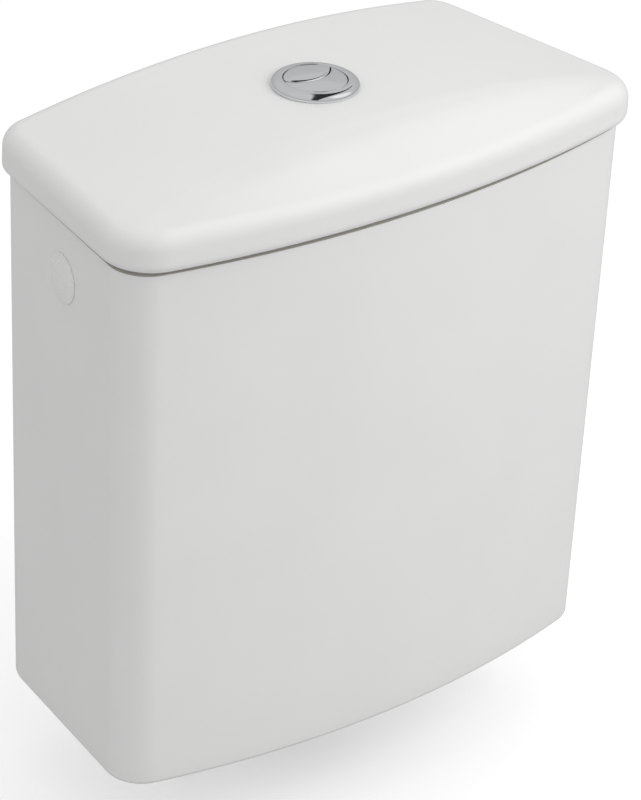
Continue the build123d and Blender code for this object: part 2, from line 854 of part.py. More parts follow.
def make_fill_backnut():
    """Hexagonal nut on the shank outside the tank."""
    high = outer_washer + fill_nut_height
    nut = hexagon(fill_nut_radius, outer_washer, high)
    return at_inlet(1, along_inlet(nut - rod(shank_radius + running_gap, 0, high + overrun)))


def make_silencer_tube():
    """Tube on the fill valve's branch that leads the water down."""
    low = -silencer_top - silencer_length
    return at_inlet(1, ring(silencer_radius, branch_radius + running_gap, low, -silencer_top, x=-branch_place))


def arm_at_rest(shape):
    """Places a shape drawn about the arm's pin, with the arm level, into the dropped pose."""
    pivot = Pos(-arm_pivot_place, 0, arm_pivot_height)
    return at_inlet(1, pivot * Rot(0, -arm_drop, 0) * shape)


def make_arm_pin():
    """Headed pin of the float arm."""
    half = arm_width / 2 + loose_gap + ear_thickness
    pin = rod(pin_radius, -half, half + pin_head) + rod(pin_radius + pin_head, half, half + pin_head)
    return at_inlet(1, Pos(-arm_pivot_place, 0, arm_pivot_height) * Rot(90, 0, 0) * pin)


def make_float_arm():
    """Arm with its heel over the nozzle and its far end over the float cup."""
    half = arm_thickness / 2
    arm = block(-arm_reach, arm_heel, -arm_width / 2, arm_width / 2, -half, half)
    arm = fillet(arm.edges().filter_by(Axis.Z), arm_width / 4)
    arm -= Rot(90, 0, 0) * rod(pin_radius + running_gap, -arm_width, arm_width)
    return arm_at_rest(arm - rod(screw_radius + running_gap, -arm_thickness, arm_thickness, x=-cup_place))


def make_shutoff_pad():
    """Rubber pad under the arm's heel."""
    place = arm_pivot_place - nozzle_place
    half = arm_thickness / 2
    return arm_at_rest(rod(pad_radius, -half - pad_thickness, -half, x=place))


def make_float_screw():
    """Setting screw through the arm into the top of the float cup."""
    half = arm_thickness / 2
    screw = rod(screw_radius, -cup_top, half + screw_head, x=-cup_place)
    return arm_at_rest(screw + rod(screw_head_radius, half, half + screw_head, x=-cup_place))


def make_float_cup():
    """Float cup, closed on top and open below."""
    low = -cup_top - cup_height
    cup = rounded_at(rod(cup_radius, low, -cup_top, x=-cup_place), -cup_top, cup_edge_radius)
    return arm_at_rest(cup - rod(cup_radius - cup_wall, low - overrun, -cup_top - cup_wall, x=-cup_place))


def main():
    """Builds every part and writes one file for each."""
    full_plan, half_plan = button_plans()
    parts = {
        "tank": make_tank(),
        "lid": make_lid(),
        "button_ring": make_button_ring(),
        "threaded_sleeve": make_threaded_sleeve(),
        "sleeve_nut": make_sleeve_nut(),
        "full_flush_button": make_button(full_plan, full_rod_place),
        "half_flush_button": make_button(half_plan, half_rod_place),
        "full_push_rod": make_push_rod(full_rod_place),
        "half_push_rod": make_push_rod(half_rod_place),
        "full_rod_tip": make_rod_tip(full_rod_place),
        "half_rod_tip": make_rod_tip(half_rod_place),
        "full_button_spring": make_button_spring(full_rod_place),
        "half_button_spring": make_button_spring(half_rod_place),
        "valve_base": make_valve_base(),
        "base_gasket": make_base_gasket(),
        "backnut": make_backnut(),
        "pan_seal": make_pan_seal(),
        "valve_cage": make_valve_cage(),
        "tower_rails": make_tower_rails(),
        "bridge": make_bridge(),
        "rocker_pins": make_rocker_pins(),
        "full_rocker": make_rocker(*rocker_sides()[0]),
        "half_rocker": make_rocker(*rocker_sides()[1]),
        "lift_yoke": make_lift_yoke(),
        "overflow_tube": make_overflow_tube(),
        "piston": make_piston(),
        "flush_seal": make_flush_seal(),
        "seal_retainer": make_seal_retainer(),
        "flush_float": make_flush_float(),
        "float_clip": make_float_clip(),
        "coupling_bolts": make_coupling_bolts(),
        "bolt_seals": make_bolt_seals(),
        "bolt_washers": make_bolt_washers(),
        "bolt_nuts": make_bolt_nuts(),
        "inlet_cap": make_inlet_cap(),
        "cap_washer": make_cap_washer(),
        "cap_nut": make_cap_nut(),
        "fill_body": make_fill_body(),
        "fill_cap": make_fill_cap(),
        "fill_inner_washer": make_fill_inner_washer(),
        "fill_outer_washer": make_fill_outer_washer(),
        "fill_backnut": make_fill_backnut(),
        "silencer_tube": make_silencer_tube(),
        "arm_pin": make_arm_pin(),
        "float_arm": make_float_arm(),
        "shutoff_pad": make_shutoff_pad(),
        "float_screw": make_float_screw(),
        "float_cup": make_float_cup(),
    }
    os.makedirs("parts", exist_ok=True)
    for name, shape in parts.items():
        export_step(shape, f"parts/{name}.step")
    pitch = (button_ceiling - guide_high - 2 * spring_wire_radius) / spring_turns
    print("least gap between a spring's turns, mm:", round(pitch - 2 * spring_wire_radius, 2))


main()
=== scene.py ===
"""Close-coupled cistern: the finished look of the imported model. Metres, +Z up, the wall behind at +Y."""

import json
import math
from math import pi

import bmesh
import bpy
import numpy as np
from bpy.props import FloatProperty, FloatVectorProperty, PointerProperty
from mathutils import Euler, Matrix, Vector


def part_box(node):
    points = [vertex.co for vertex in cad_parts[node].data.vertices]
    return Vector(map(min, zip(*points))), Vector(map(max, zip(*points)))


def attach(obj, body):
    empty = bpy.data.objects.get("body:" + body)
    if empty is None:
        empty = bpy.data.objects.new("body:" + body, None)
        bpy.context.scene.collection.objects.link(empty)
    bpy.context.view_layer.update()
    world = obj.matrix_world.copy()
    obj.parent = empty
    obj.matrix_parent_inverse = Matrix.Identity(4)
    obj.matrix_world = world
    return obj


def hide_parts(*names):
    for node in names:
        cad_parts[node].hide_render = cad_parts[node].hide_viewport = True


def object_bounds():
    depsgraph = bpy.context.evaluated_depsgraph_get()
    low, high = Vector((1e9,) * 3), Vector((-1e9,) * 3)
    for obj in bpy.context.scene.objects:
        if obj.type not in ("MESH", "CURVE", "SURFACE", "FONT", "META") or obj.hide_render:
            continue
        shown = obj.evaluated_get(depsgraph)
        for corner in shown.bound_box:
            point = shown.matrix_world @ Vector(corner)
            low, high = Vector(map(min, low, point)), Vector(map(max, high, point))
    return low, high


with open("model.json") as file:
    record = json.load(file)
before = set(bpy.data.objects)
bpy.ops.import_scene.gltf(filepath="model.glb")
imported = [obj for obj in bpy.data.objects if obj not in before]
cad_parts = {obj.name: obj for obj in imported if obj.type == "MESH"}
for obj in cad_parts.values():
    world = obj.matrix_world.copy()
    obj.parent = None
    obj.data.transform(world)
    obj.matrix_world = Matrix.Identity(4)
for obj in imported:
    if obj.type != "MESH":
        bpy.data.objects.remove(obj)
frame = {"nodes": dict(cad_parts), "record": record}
cad_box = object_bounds()

bl_info = {
    "name": "Close-coupled cistern",
    "version": (1, 0, 0),
    "blender": (4, 5, 0),
    "location": "3D View > Sidebar > Cistern",
    "description": "Builds the china, chrome, plastic and rubber of a cistern round its packed model",
    "category": "Object",
}

MERGE_DISTANCE = 1e-7
SHARP_ANGLE = 35.0
FULL_TURN = 2 * pi
SURFACE_SHARE = 0.98
# Painted shade: the darker bare clay starts this far below the rim's step and stands in for the shade line under the
# lid.
GLAZE_MARGIN = 0.0002
EVEN = (1.0, 1.0, 1.0)
WHITE = (1.0, 1.0, 1.0, 1.0)
SLOT_OF_NODE = {part["node"]: part["material_slot"] for part in frame["record"]["subparts"]}
BODY_OF_NODE = {node: body for body, nodes in frame["record"]["behaviour"]["bodies"].items() for node in nodes}


def length(default, description):
    """A length property in metres."""
    return FloatProperty(default=default, description=description, unit="LENGTH", precision=4)


def number(default, description, unit="NONE"):
    """A plain number property, or an angle."""
    return FloatProperty(default=default, description=description, unit=unit)


def colour(default, description):
    """A linear colour property."""
    return FloatVectorProperty(default=default, description=description, subtype="COLOR", size=3, min=0.0, max=1.0)


def labelled(group):
    """Labels each property of a group with its own identifier, spelt out."""
    for identifier, entry in group.__annotations__.items():
        entry.keywords["name"] = identifier.replace("_", " ").capitalize()
    return group


@labelled
class CisternTankSizes(bpy.types.PropertyGroup):
    """Sizes of the china tank."""

    height: length(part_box("tank")[1].z, "Underside to rim")
    top_half_width: length(0.192, "Half the width at the rim")
    bottom_half_width: length(0.183, "Half the width at the foot")
    corner_line: length(0.070, "From the outlet forward to the corners")
    back: length(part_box("tank")[1].y, "From the outlet to the back")
    bow: length(0.0255, "Rise of the bowed front")
    side_taper: length(0.0285, "How much each side comes in from front to back")
    front_radius: length(0.023, "Radius of the front corners in plan")
    back_radius_top: length(0.020, "Radius of the back corners at the rim")
    back_radius_bottom: length(0.028, "Radius of the back corners at the foot")
    wall: length(0.010, "Thickness of the walls")
    floor: length(0.012, "Thickness of the floor")
    inner_radius: length(0.009, "Round between floor and walls inside")
    foot_radius: length(0.004, "Round along the outer bottom edge")
    rim_radius: length(0.0025, "Round along the rim's inner edge")
    seat_step: length(0.0032, "How far the rim stands in")
    seat_drop: length(0.0030, "How far that step lies below the rim")
    seat_edge: length(0.0006, "Round along the step's edges")
    outlet_radius: length(0.031, "Hole in the floor for the flush valve")
    bolt_spacing: length(0.160, "Between the two coupling bolts")
    bolt_hole_radius: length(0.007, "Holes in the floor for the coupling bolts")
    screw_spacing: length(0.200, "Between the two wall screws")
    screw_height: length(0.306, "Height of the wall screws")
    screw_hole_radius: length(0.004, "Holes in the back for the wall screws")
    inlet_height: length(0.308, "Height of the side inlets")
    inlet_depth: length(0.008, "From the outlet back to the inlets")
    inlet_radius: length(0.012, "Holes in the sides for the inlets")
    hole_flare: length(0.0008, "How far the glaze rounds off each small hole")


@labelled
class CisternLidSizes(bpy.types.PropertyGroup):
    """Sizes of the china lid."""

    half_width: length(0.1985, "Half the width at the corner line")
    corner_line: length(0.076, "From the outlet forward to the corners")
    back: length(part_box("lid")[1].y, "From the outlet to the back")
    bow: length(0.025, "Rise of the bowed front")
    front_radius: length(0.031, "Radius of the front corners in plan")
    back_radius: length(0.020, "Radius of the back corners in plan")
    top: length(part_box("lid")[1].z, "Height of the crown")
    arch_rise: length(0.0198, "Fall of the top to its ends")
    arch_half_span: length(0.196, "Half the span of that fall")
    crease_height: length(0.0262, "Height of the front crease over the rim")
    fall_start: length(0.061, "Where the top turns down to the front")
    crease_front: length(0.0925, "Where the fall reaches the crease at the middle")
    crown_softness: number(0.45, "How gently the fall starts, as a share of its run")
    crease_softness: length(0.0012, "How gently the fall dies out at the ends")
    lower_radius: length(0.006, "Round along the lower edge")
    upper_radius: length(0.012, "Round along the upper edge")
    thickness: length(0.010, "Thickness of the china")
    lip_gap: length(0.003, "Between the locating lip and the tank's walls")
    lip_width: length(0.007, "Width of the locating lip")
    lip_radius: length(0.0015, "Round along the lip's edges")
    hole_radius: length(0.0225, "Hole for the button's sleeve")


@labelled
class CisternButtonSizes(bpy.types.PropertyGroup):
    """Sizes of the chromed ring and the split button."""

    ring_radius: length(0.0265, "Outer radius of the ring")
    ring_height: length(0.0042, "Height of the ring over the lid's crown")
    ring_rim: length(0.0008, "Height of the ring's outer edge")
    ring_bore: length(0.0194, "Inner radius of the ring")
    ring_lip: length(0.001, "Width of the flat on the ring's top")
    ring_foot: length(0.0015, "Thickness of the flange that the ring covers")
    radius: length(0.019, "Radius of the two buttons together")
    crown: length(0.0009, "How far the front crescent falls to its rim")
    lens_crown: length(0.0007, "How far the rear lens falls to its rim")
    edge: length(0.0009, "Round along the buttons' upper edges")
    split_shoulder: length(0.0022, "How far the tops ease off towards the split")
    split_radius: length(0.0208, "Radius of the arc that parts the buttons")
    split_centre: length(0.0188, "How far behind the middle that arc is centred")
    split_gap: length(0.0008, "Gap between the buttons")


@labelled
class CisternFittingSizes(bpy.types.PropertyGroup):
    """Sizes of the plug, bolts, tubes and seals."""

    plug_radius: length(0.0155, "Radius of the spare inlet's plug")
    plug_rim: length(0.0009, "Thickness of the plug's head at its rim")
    plug_dome: length(0.0011, "Rise of the plug's face over its rim")
    plug_edge: length(0.0004, "Round along the plug's edge")
    plug_shank_radius: length(0.0104, "Outer radius of the plug's thread")
    plug_shank_length: length(0.026, "Length of the plug's thread")
    plug_pitch: length(0.0015, "Pitch of the plug's thread")
    stud_radius: length(0.004, "Outer radius of the coupling bolts' thread")
    stud_shank_radius: length(0.0036, "Radius of the plain shank above the thread")
    stud_thread_top: length(-0.009, "Height at which the thread ends")
    stud_head_radius: length(0.0075, "Corner radius of the hexagonal heads")
    stud_head_height: length(0.0055, "Height of the hexagonal heads")
    stud_pitch: length(0.00125, "Pitch of the coupling bolts' thread")
    tail_radius: length(0.029, "Outer radius of the flush valve's thread")
    tail_bore: length(0.024, "Bore of the flush valve's tail")
    tail_pitch: length(0.003, "Pitch of the flush valve's thread")
    bore_depth: length(0.038, "Length of the tail's full bore")
    throat_radius: length(0.0225, "Bore under the seat")
    flange_low: length(0.015, "Height of the valve flange's underside")
    flange_high: length(0.019, "Height of the valve flange's top")
    seat_radius: length(0.028, "Outer radius of the seat's wall")
    seat_lip_radius: length(0.026, "Outer radius of the seat's lip")
    seat_lip_height: length(0.002, "Height of the seat's lip")
    tube_wall: length(0.002, "Wall of the overflow tube")
    float_bore: length(0.01405, "Bore of the flush float")
    float_edge: length(0.003, "Round along the flush float's edges")
    seal_recess: length(0.0413, "Recess in the foam seal for the backnut")
    seal_recess_depth: length(0.0093, "Depth of that recess")
    seal_hole: length(0.0293, "Hole in the foam seal")
    seal_taper: length(0.004, "How much the foam seal draws in to its foot")
    seal_edge: length(0.0025, "Round along the foam seal's edges")
    supply_root: length(0.01048, "Radius of the supply thread's valleys")
    supply_ridge: length(0.0004, "Height of the supply thread's ridge")
    supply_pitch: length(0.001814, "Pitch of the supply thread")
    supply_start: length(0.0133, "From the wall to the supply thread")
    supply_length: length(0.0225, "Length of the supply thread")
    silencer_radius: length(0.0095, "Outer radius of the silencer tube")
    silencer_bore: length(0.00805, "Inner radius of the silencer tube")
    silencer_top: length(0.014, "From the inlet down to the silencer")
    silencer_length: length(0.215, "Length of the silencer tube")
    silencer_place: length(0.030, "From the wall in to the silencer")


@labelled
class CisternFinishes(bpy.types.PropertyGroup):
    """Colours of the finishes, each named as its slot, and of the bare clay, whose darker tone also paints the shade
    line under the lid.
    """

    china: colour((0.80, 0.80, 0.795), "Glazed white china")
    # Partly painted shade: the bare clay is kept darker so that the rim paints the shade line under the lid.
    clay: colour((0.50, 0.485, 0.45), "Bare clay of the tank's rim")
    chrome: colour((0.78, 0.79, 0.80), "Chromed plastic")
    cap_white: colour((0.80, 0.80, 0.78), "Gloss white plastic")
    white_plastic: colour((0.72, 0.72, 0.69), "Moulded white plastic")
    grey_plastic: colour((0.27, 0.28, 0.29), "Moulded grey plastic")
    blue_plastic: colour((0.03, 0.12, 0.30), "Moulded blue plastic")
    black_rubber: colour((0.018, 0.018, 0.018), "Seals and washers")
    red_rubber: colour((0.25, 0.03, 0.02), "Flush seal")
    steel: colour((0.55, 0.55, 0.54), "Plated steel")
    spring_steel: colour((0.48, 0.48, 0.48), "Drawn wire")


@labelled
class CisternStageSettings(bpy.types.PropertyGroup):
    """Floor, lamps and camera."""

    floor_colour: colour((0.62, 0.62, 0.62), "Pale floor")
    floor_reach: length(14.0, "Half the floor's side")
    floor_glow: number(0.48, "Light that only the camera sees added to the floor")
    world_light: number(0.79, "Even light all round")
    mirror_light: number(1.1, "Strength of what gloss mirrors")
    top_light: number(1.2, "Power of the overhead softbox, watts")
    key_light: number(5.4, "Power of the right-hand softbox, watts")
    fill_light: number(0.3, "Power of the left-hand softbox, watts")
    camera_place: FloatVectorProperty(default=(-1.66499, -1.92524, 1.55898), description="Camera", unit="LENGTH")
    camera_azimuth: number(math.radians(-41.15), "Turn round Z from the front", "ROTATION")
    camera_elevation: number(math.radians(28.49), "Height over the horizon", "ROTATION")
    camera_roll: number(math.radians(3.12), "Turn about the line of sight", "ROTATION")
    camera_lens: number(214.53, "Focal length in mm")
    camera_frame: number(36.0, "Height of the camera's frame in mm")


def unit(vectors):
    """The vectors, each at a length of one."""
    return vectors / np.linalg.norm(vectors, axis=-1, keepdims=True)


def soft_part(value, width):
    """The value's positive part, (v + sqrt(v*v + w*w)) / 2, whose corner at zero is softened over the width."""
    return (value + np.sqrt(value * value + width * width)) / 2


def eased(value, ease):
    """The value's positive part with its corner at zero turned into a parabola, (v + e) squared / 4e."""
    return np.where(value > ease, value, np.clip(value + ease, 0, None) ** 2 / (4 * ease))


def arc_line(centre, radius, start, end, steps):
    """Points on a circle from one angle to another."""
    angle = np.linspace(start, end, steps)
    return np.stack([centre[0] + radius * np.cos(angle), centre[1] + radius * np.sin(angle)], -1)


def cistern_plan(half_width, corner_line, back, bow, taper, front_radius, back_radius):
    """Closed plan outline, from the front's middle round by +X.

    The front is the circle through both corners and the bow's top, with radius (w*w + b*b) / 2b.
    A front corner is the circle that touches it from inside and the tapered side, so its centre lies
    on the side's parallel where the distance to the front circle's centre is the two radii's difference.
    A back corner touches the side and the straight back.
    """
    bow_radius = (half_width**2 + bow**2) / (2 * bow)
    bow_centre = np.array([0.0, bow_radius - corner_line - bow])
    corner = np.array([half_width, -corner_line])
    along = unit(np.array([-taper, back + corner_line]))
    inward = np.array([-along[1], along[0]])
    offset = corner + front_radius * inward - bow_centre
    reach = offset @ along
    run = -reach - math.sqrt(reach**2 - offset @ offset + (bow_radius - front_radius) ** 2)
    front_centre = corner + run * along + front_radius * inward
    touch = front_centre - bow_centre
    touch_angle = math.atan2(touch[1], touch[0])
    side_angle = math.atan2(-inward[1], -inward[0])
    climb = (back - back_radius + corner_line - back_radius * inward[1]) / along[1]
    back_centre = corner + climb * along + back_radius * inward
    half = np.concatenate([
        arc_line(bow_centre, bow_radius, -pi / 2, touch_angle, 60)[:-1],
        arc_line(front_centre, front_radius, touch_angle, side_angle, 26)[:-1],
        np.linspace(corner + run * along, corner + climb * along, 22)[:-1],
        arc_line(back_centre, back_radius, side_angle, pi / 2, 22)[:-1],
        np.linspace((back_centre[0], back), (0.0, back), 22),
    ])
    return np.concatenate([half, half[-2:0:-1] * (-1.0, 1.0)])


def tank_plan_at(tank, height):
    """The tank's outer plan at a height: the straight mix of its foot's and its rim's."""
    shared = tank.corner_line, tank.back, tank.bow, tank.side_taper, tank.front_radius
    foot = cistern_plan(tank.bottom_half_width, *shared, tank.back_radius_bottom)
    rim = cistern_plan(tank.top_half_width, *shared, tank.back_radius_top)
    return foot + (rim - foot) * height / tank.height


def drawn_in(plan, distance):
    """The plan's parallel at a distance inside it: each point moved against its outward normal."""
    tangent = unit(np.roll(plan, -1, 0) - np.roll(plan, 1, 0))
    outward = np.stack([tangent[:, 1], -tangent[:, 0]], -1)
    return plan - np.asarray(distance).reshape(-1, 1) * outward


def at_height(plan, height):
    """The plan lifted to a height, or to one height for each point."""
    return np.column_stack([plan, np.broadcast_to(height, len(plan))])


def edge_rings(plan_at, inset, level, radius, start, end, steps):
    """Rings along a rounded edge: the plan drawn in by inset - r sin(a), at height level + r cos(a)."""
    rings = []
    for angle in np.linspace(start, end, steps):
        height = level + radius * np.cos(angle)
        rings.append(at_height(drawn_in(plan_at(height), inset - radius * np.sin(angle)), height))
    return np.stack(rings)


def rounded_polygon(corners, radii, steps=7):
    """Closed line through corners, each rounded by the circle of its radius that touches both its sides."""
    corners = np.asarray(corners, float)
    radii = np.broadcast_to(np.asarray(radii, float), len(corners))[:, None]
    back = unit(np.roll(corners, 1, 0) - corners)
    ahead = unit(np.roll(corners, -1, 0) - corners)
    half_angle = np.arccos(np.clip((back * ahead).sum(1, keepdims=True), -1, 1)) / 2
    centre = corners + unit(back + ahead) * radii / np.sin(half_angle)
    first = corners + back * radii / np.tan(half_angle) - centre
    last = corners + ahead * radii / np.tan(half_angle) - centre
    sweep = pi - 2 * half_angle
    mix = np.linspace(0.0, 1.0, steps)[:, None, None]
    points = centre + (np.sin((1 - mix) * sweep) * first + np.sin(mix * sweep) * last) / np.sin(sweep)
    return points.transpose(1, 0, 2).reshape(-1, 2)


def denser(profile, spacing):
    """The closed profile with even extra points, so that no step is much longer than the spacing."""
    ahead = np.roll(profile, -1, 0)
    counts = np.maximum(1, np.ceil(np.linalg.norm(ahead - profile, axis=1) / spacing).astype(int))
    start = np.repeat(profile, counts, 0)
    step = np.repeat((ahead - profile) / counts[:, None], counts, 0)
    place = np.arange(counts.sum()) - np.repeat(np.cumsum(counts) - counts, counts)
    return start + step * place[:, None]


def thread_cut(angle, height, pitch, depth, low, high):
    """Depth of a thread: a triangle wave of height / pitch - angle / turn, fading out over a pitch at its ends."""
    phase = (height / pitch - angle / FULL_TURN) % 1.0
    fade = np.clip((height - low) / pitch, 0, 1) * np.clip((high - height) / pitch, 0, 1)
    return depth * fade * np.abs(2 * phase - 1)


def threaded(radius, top, *thread):
    """A cut for turned: a thread in what stands at the radius, below the top."""
    def cut(angle, height, reach):
        return ((reach > radius * SURFACE_SHARE) & (height < top)) * thread_cut(angle, height, *thread)
    return cut


def turned(profile, count=96, cut=None):
    """A closed (radius, height) profile carried round Z. cut(angle, height, radius) is taken off the radius."""
    angle = np.linspace(0, FULL_TURN, count, endpoint=False)[:, None]
    radius = np.broadcast_to(profile[:, 0], (count, len(profile)))
    height = np.broadcast_to(profile[:, 1], (count, len(profile)))
    if cut is not None:
        radius = radius - cut(angle, height, radius)
    return np.stack([radius * np.cos(angle), radius * np.sin(angle), height], -1)


def hexagonal(points, corner_radius):
    """Points round Z drawn in to a hexagon: the radius is at most the side's distance over the cosine to it."""
    angle = np.arctan2(points[..., 1], points[..., 0])
    radius = np.hypot(points[..., 0], points[..., 1])
    limit = corner_radius * math.cos(pi / 6) / np.cos(angle % (pi / 3) - pi / 6)
    scale = np.minimum(radius, limit) / np.maximum(radius, MERGE_DISTANCE)
    return points * np.stack([scale, scale, np.ones_like(scale)], -1)


def inlet_frame(tank, side):
    """Origin on the outer side wall at an inlet, and its axes: out of the wall, level, and up the wall."""
    run = tank.corner_line + tank.back
    lean = tank.top_half_width - tank.bottom_half_width
    outward = unit(np.array([side, tank.side_taper / run, -lean / tank.height]))
    level = unit(np.cross([0.0, 0.0, 1.0], outward))
    x = tank.top_half_width
    x -= tank.side_taper * (tank.inlet_depth + tank.corner_line) / run
    x -= lean * (1 - tank.inlet_height / tank.height)
    origin = np.array([side * x, tank.inlet_depth, tank.inlet_height])
    return origin, outward, level, np.cross(outward, level)


def along_inlet(points, tank, side):
    """Points drawn round Z, placed so that Z runs straight out of the side wall at an inlet."""
    origin, outward, level, up = inlet_frame(tank, side)
    return origin + points[..., 2:] * outward + points[..., :1] * level + points[..., 1:2] * up


def surface_object(name, *grids, closed=(True, True), sharp_angle=SHARP_ANGLE):
    """One mesh from grids of points. closed tells whether their rows and columns close on themselves."""
    points, faces, first = [], [], 0
    for grid in grids:
        points.append(grid.reshape(-1, 3))
        index = first + np.arange(len(points[-1])).reshape(grid.shape[:2])
        first += len(points[-1])
        if closed[0]:
            index = np.concatenate([index, index[:1]])
        if closed[1]:
            index = np.concatenate([index, index[:, :1]], 1)
        corners = [index[:-1, :-1], index[1:, :-1], index[1:, 1:], index[:-1, 1:]]
        faces.append(np.stack(corners, -1).reshape(-1, 4))
    points, faces = np.concatenate(points), np.concatenate(faces)
    mesh = bpy.data.meshes.new(name)
    mesh.vertices.add(len(points))
    mesh.vertices.foreach_set("co", points.astype(np.float32).ravel())
    mesh.loops.add(faces.size)
    mesh.loops.foreach_set("vertex_index", faces.astype(np.int32).ravel())
    mesh.polygons.add(len(faces))
    mesh.polygons.foreach_set("loop_start", np.arange(0, faces.size, 4, dtype=np.int32))
    mesh.update(calc_edges=True)
    tidy_mesh(mesh)
    smooth(mesh, sharp_angle)
    piece = bpy.data.objects.new(name, mesh)
    bpy.context.scene.collection.objects.link(piece)
    return piece


def tidy_mesh(mesh):
    """Merges the points at poles and tips, drops what has no face, and turns every face outwards."""
    work = bmesh.new()
    work.from_mesh(mesh)
    bmesh.ops.remove_doubles(work, verts=work.verts, dist=MERGE_DISTANCE)
    bmesh.ops.delete(work, geom=[edge for edge in work.edges if not edge.link_faces], context="EDGES")
    bmesh.ops.recalc_face_normals(work, faces=work.faces)
    work.to_mesh(mesh)
    work.free()


def smooth(mesh, sharp_angle):
    """Smooth shading that breaks at edges sharper than the angle."""
    mesh.polygons.foreach_set("use_smooth", np.ones(len(mesh.polygons), dtype=bool))
    mesh.set_sharp_from_angle(angle=math.radians(sharp_angle))
    mesh.update()


def pierce(piece, cutters):
    """Cuts the cutters out of a piece and applies the result."""
    for cutter in cutters:
        change = piece.modifiers.new("hole", "BOOLEAN")
        change.operation = "DIFFERENCE"
        change.solver = "EXACT"
        change.object = cutter
    bpy.context.view_layer.update()
    cut = bpy.data.meshes.new_from_object(piece.evaluated_get(bpy.context.evaluated_depsgraph_get()))
    piece.modifiers.clear()
    piece.data = cut
    for cutter in cutters:
        bpy.data.objects.remove(cutter)
    smooth(piece.data, SHARP_ANGLE)


def dress(piece, node, material=None):
    """The piece stands for a node: it rides on that node's body and takes its slot and finish."""
    piece.data.materials.clear()
    piece.data.materials.append(material or finish(SLOT_OF_NODE[node]))
    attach(piece, BODY_OF_NODE[node])
    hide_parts(node)


def feed(tree, node, inputs):
    """Gives a node its inputs, by name or number: each is a value, or a socket to link from."""
    for key, value in inputs.items():
        if isinstance(value, bpy.types.NodeSocket):
            tree.links.new(value, node.inputs[key])
        else:
            node.inputs[key].default_value = value


def add(tree, kind, inputs=None, **settings):
    """A new shader node with its settings and inputs."""
    node = tree.nodes.new("ShaderNode" + kind)
    for key, value in settings.items():
        setattr(node, key, value)
    feed(tree, node, inputs or {})
    return node


def combined(tree, operation, first, second):
    """Socket with what an operation makes of two values or sockets."""
    return add(tree, "Math", {0: first, 1: second}, operation=operation).outputs["Value"]


def new_material(name):
    """A node material with its tree and its shader."""
    material = bpy.data.materials.new(name)
    material.use_nodes = True
    return material, material.node_tree, material.node_tree.nodes["Principled BSDF"]


def object_noise(tree, scale, detail=2.0, stretch=EVEN):
    """Noise fixed to the object, with the scale in cells for each metre."""
    place = add(tree, "TexCoord").outputs["Object"]
    mapped = add(tree, "Mapping", {"Vector": place, "Scale": stretch}).outputs["Vector"]
    return add(tree, "TexNoise", {"Vector": mapped, "Scale": scale, "Detail": detail}).outputs["Fac"]


def mottle(tree, shader, base, spread, scale, stretch=EVEN):
    """Base colour that wanders a little between two shades."""
    ramp = add(tree, "ValToRGB", {"Fac": object_noise(tree, scale, 3.0, stretch)})
    for element, position, change in zip(ramp.color_ramp.elements, (0.3, 0.7), (-spread, spread)):
        element.position = position
        element.color = (*[min(1.0, part * (1 + change)) for part in base], 1.0)
    feed(tree, shader, {"Base Color": ramp.outputs["Color"]})


def uneven_gloss(tree, shader, low, high, scale):
    """Roughness that wanders between two values."""
    spread = add(tree, "MapRange", {"Value": object_noise(tree, scale), "To Min": low, "To Max": high})
    feed(tree, shader, {"Roughness": spread.outputs["Result"]})


def ripple(tree, shader, scale, height, strength=1.0, stretch=EVEN, socket="Normal"):
    """Bump of a height in metres."""
    noise = object_noise(tree, scale, stretch=stretch)
    bump = add(tree, "Bump", {"Strength": strength, "Distance": height, "Height": noise})
    feed(tree, shader, {socket: bump.outputs["Normal"]})


def china_material(name, base, clay=None, glaze_top=None):
    """Fired glaze over white clay: a clear coat with the faint ripple of a poured glaze, cloudy clay below.

    Above the glaze's top, where one is given, the rim is bare clay, whose darker tone also paints the shade line under
    the lid.
    """
    material, tree, shader = new_material(name)
    mottle(tree, shader, base, spread=0.012, scale=14.0)
    uneven_gloss(tree, shader, low=0.30, high=0.40, scale=40.0)
    ripple(tree, shader, scale=55.0, height=0.00012, strength=0.35)
    ripple(tree, shader, scale=90.0, height=0.00008, strength=0.3, socket="Coat Normal")
    feed(tree, shader, {"Coat Weight": 0.35, "Coat Roughness": 0.12, "Coat IOR": 1.5})
    if glaze_top is not None:
        clay_and_painted_shade_above(tree, shader, clay, glaze_top - GLAZE_MARGIN)
    return material


def clay_and_painted_shade_above(tree, shader, clay, height):
    """Mixes rough bare clay in above a height: partly the clay's own colour, partly painted shade for the line under
    the lid.
    """
    place = add(tree, "SeparateXYZ", {"Vector": add(tree, "TexCoord").outputs["Object"]})
    above = combined(tree, "GREATER_THAN", place.outputs["Z"], height)
    bare = add(tree, "BsdfDiffuse", {"Color": (*clay, 1.0), "Roughness": 0.8})
    mix = add(tree, "MixShader", {"Fac": above, 1: shader.outputs["BSDF"], 2: bare.outputs["BSDF"]})
    feed(tree, tree.nodes["Material Output"], {"Surface": mix.outputs["Shader"]})


def layered_material(name, base, cloud, gloss, bump, **inputs):
    """A finish whose colour clouds, whose gloss wanders and whose surface ripples."""
    material, tree, shader = new_material(name)
    feed(tree, shader, inputs)
    mottle(tree, shader, base, *cloud)
    uneven_gloss(tree, shader, *gloss)
    ripple(tree, shader, *bump)
    return material


def plastic(rough, grain):
    """Traits of moulded plastic: flow marks in the colour and a fine spark-eroded grain."""
    return {
        "cloud": (0.04, 30.0, (1.0, 1.0, 0.4)),
        "gloss": (rough - 0.06, rough + 0.06, 260.0),
        "bump": (1800.0, grain, 0.5),
    }


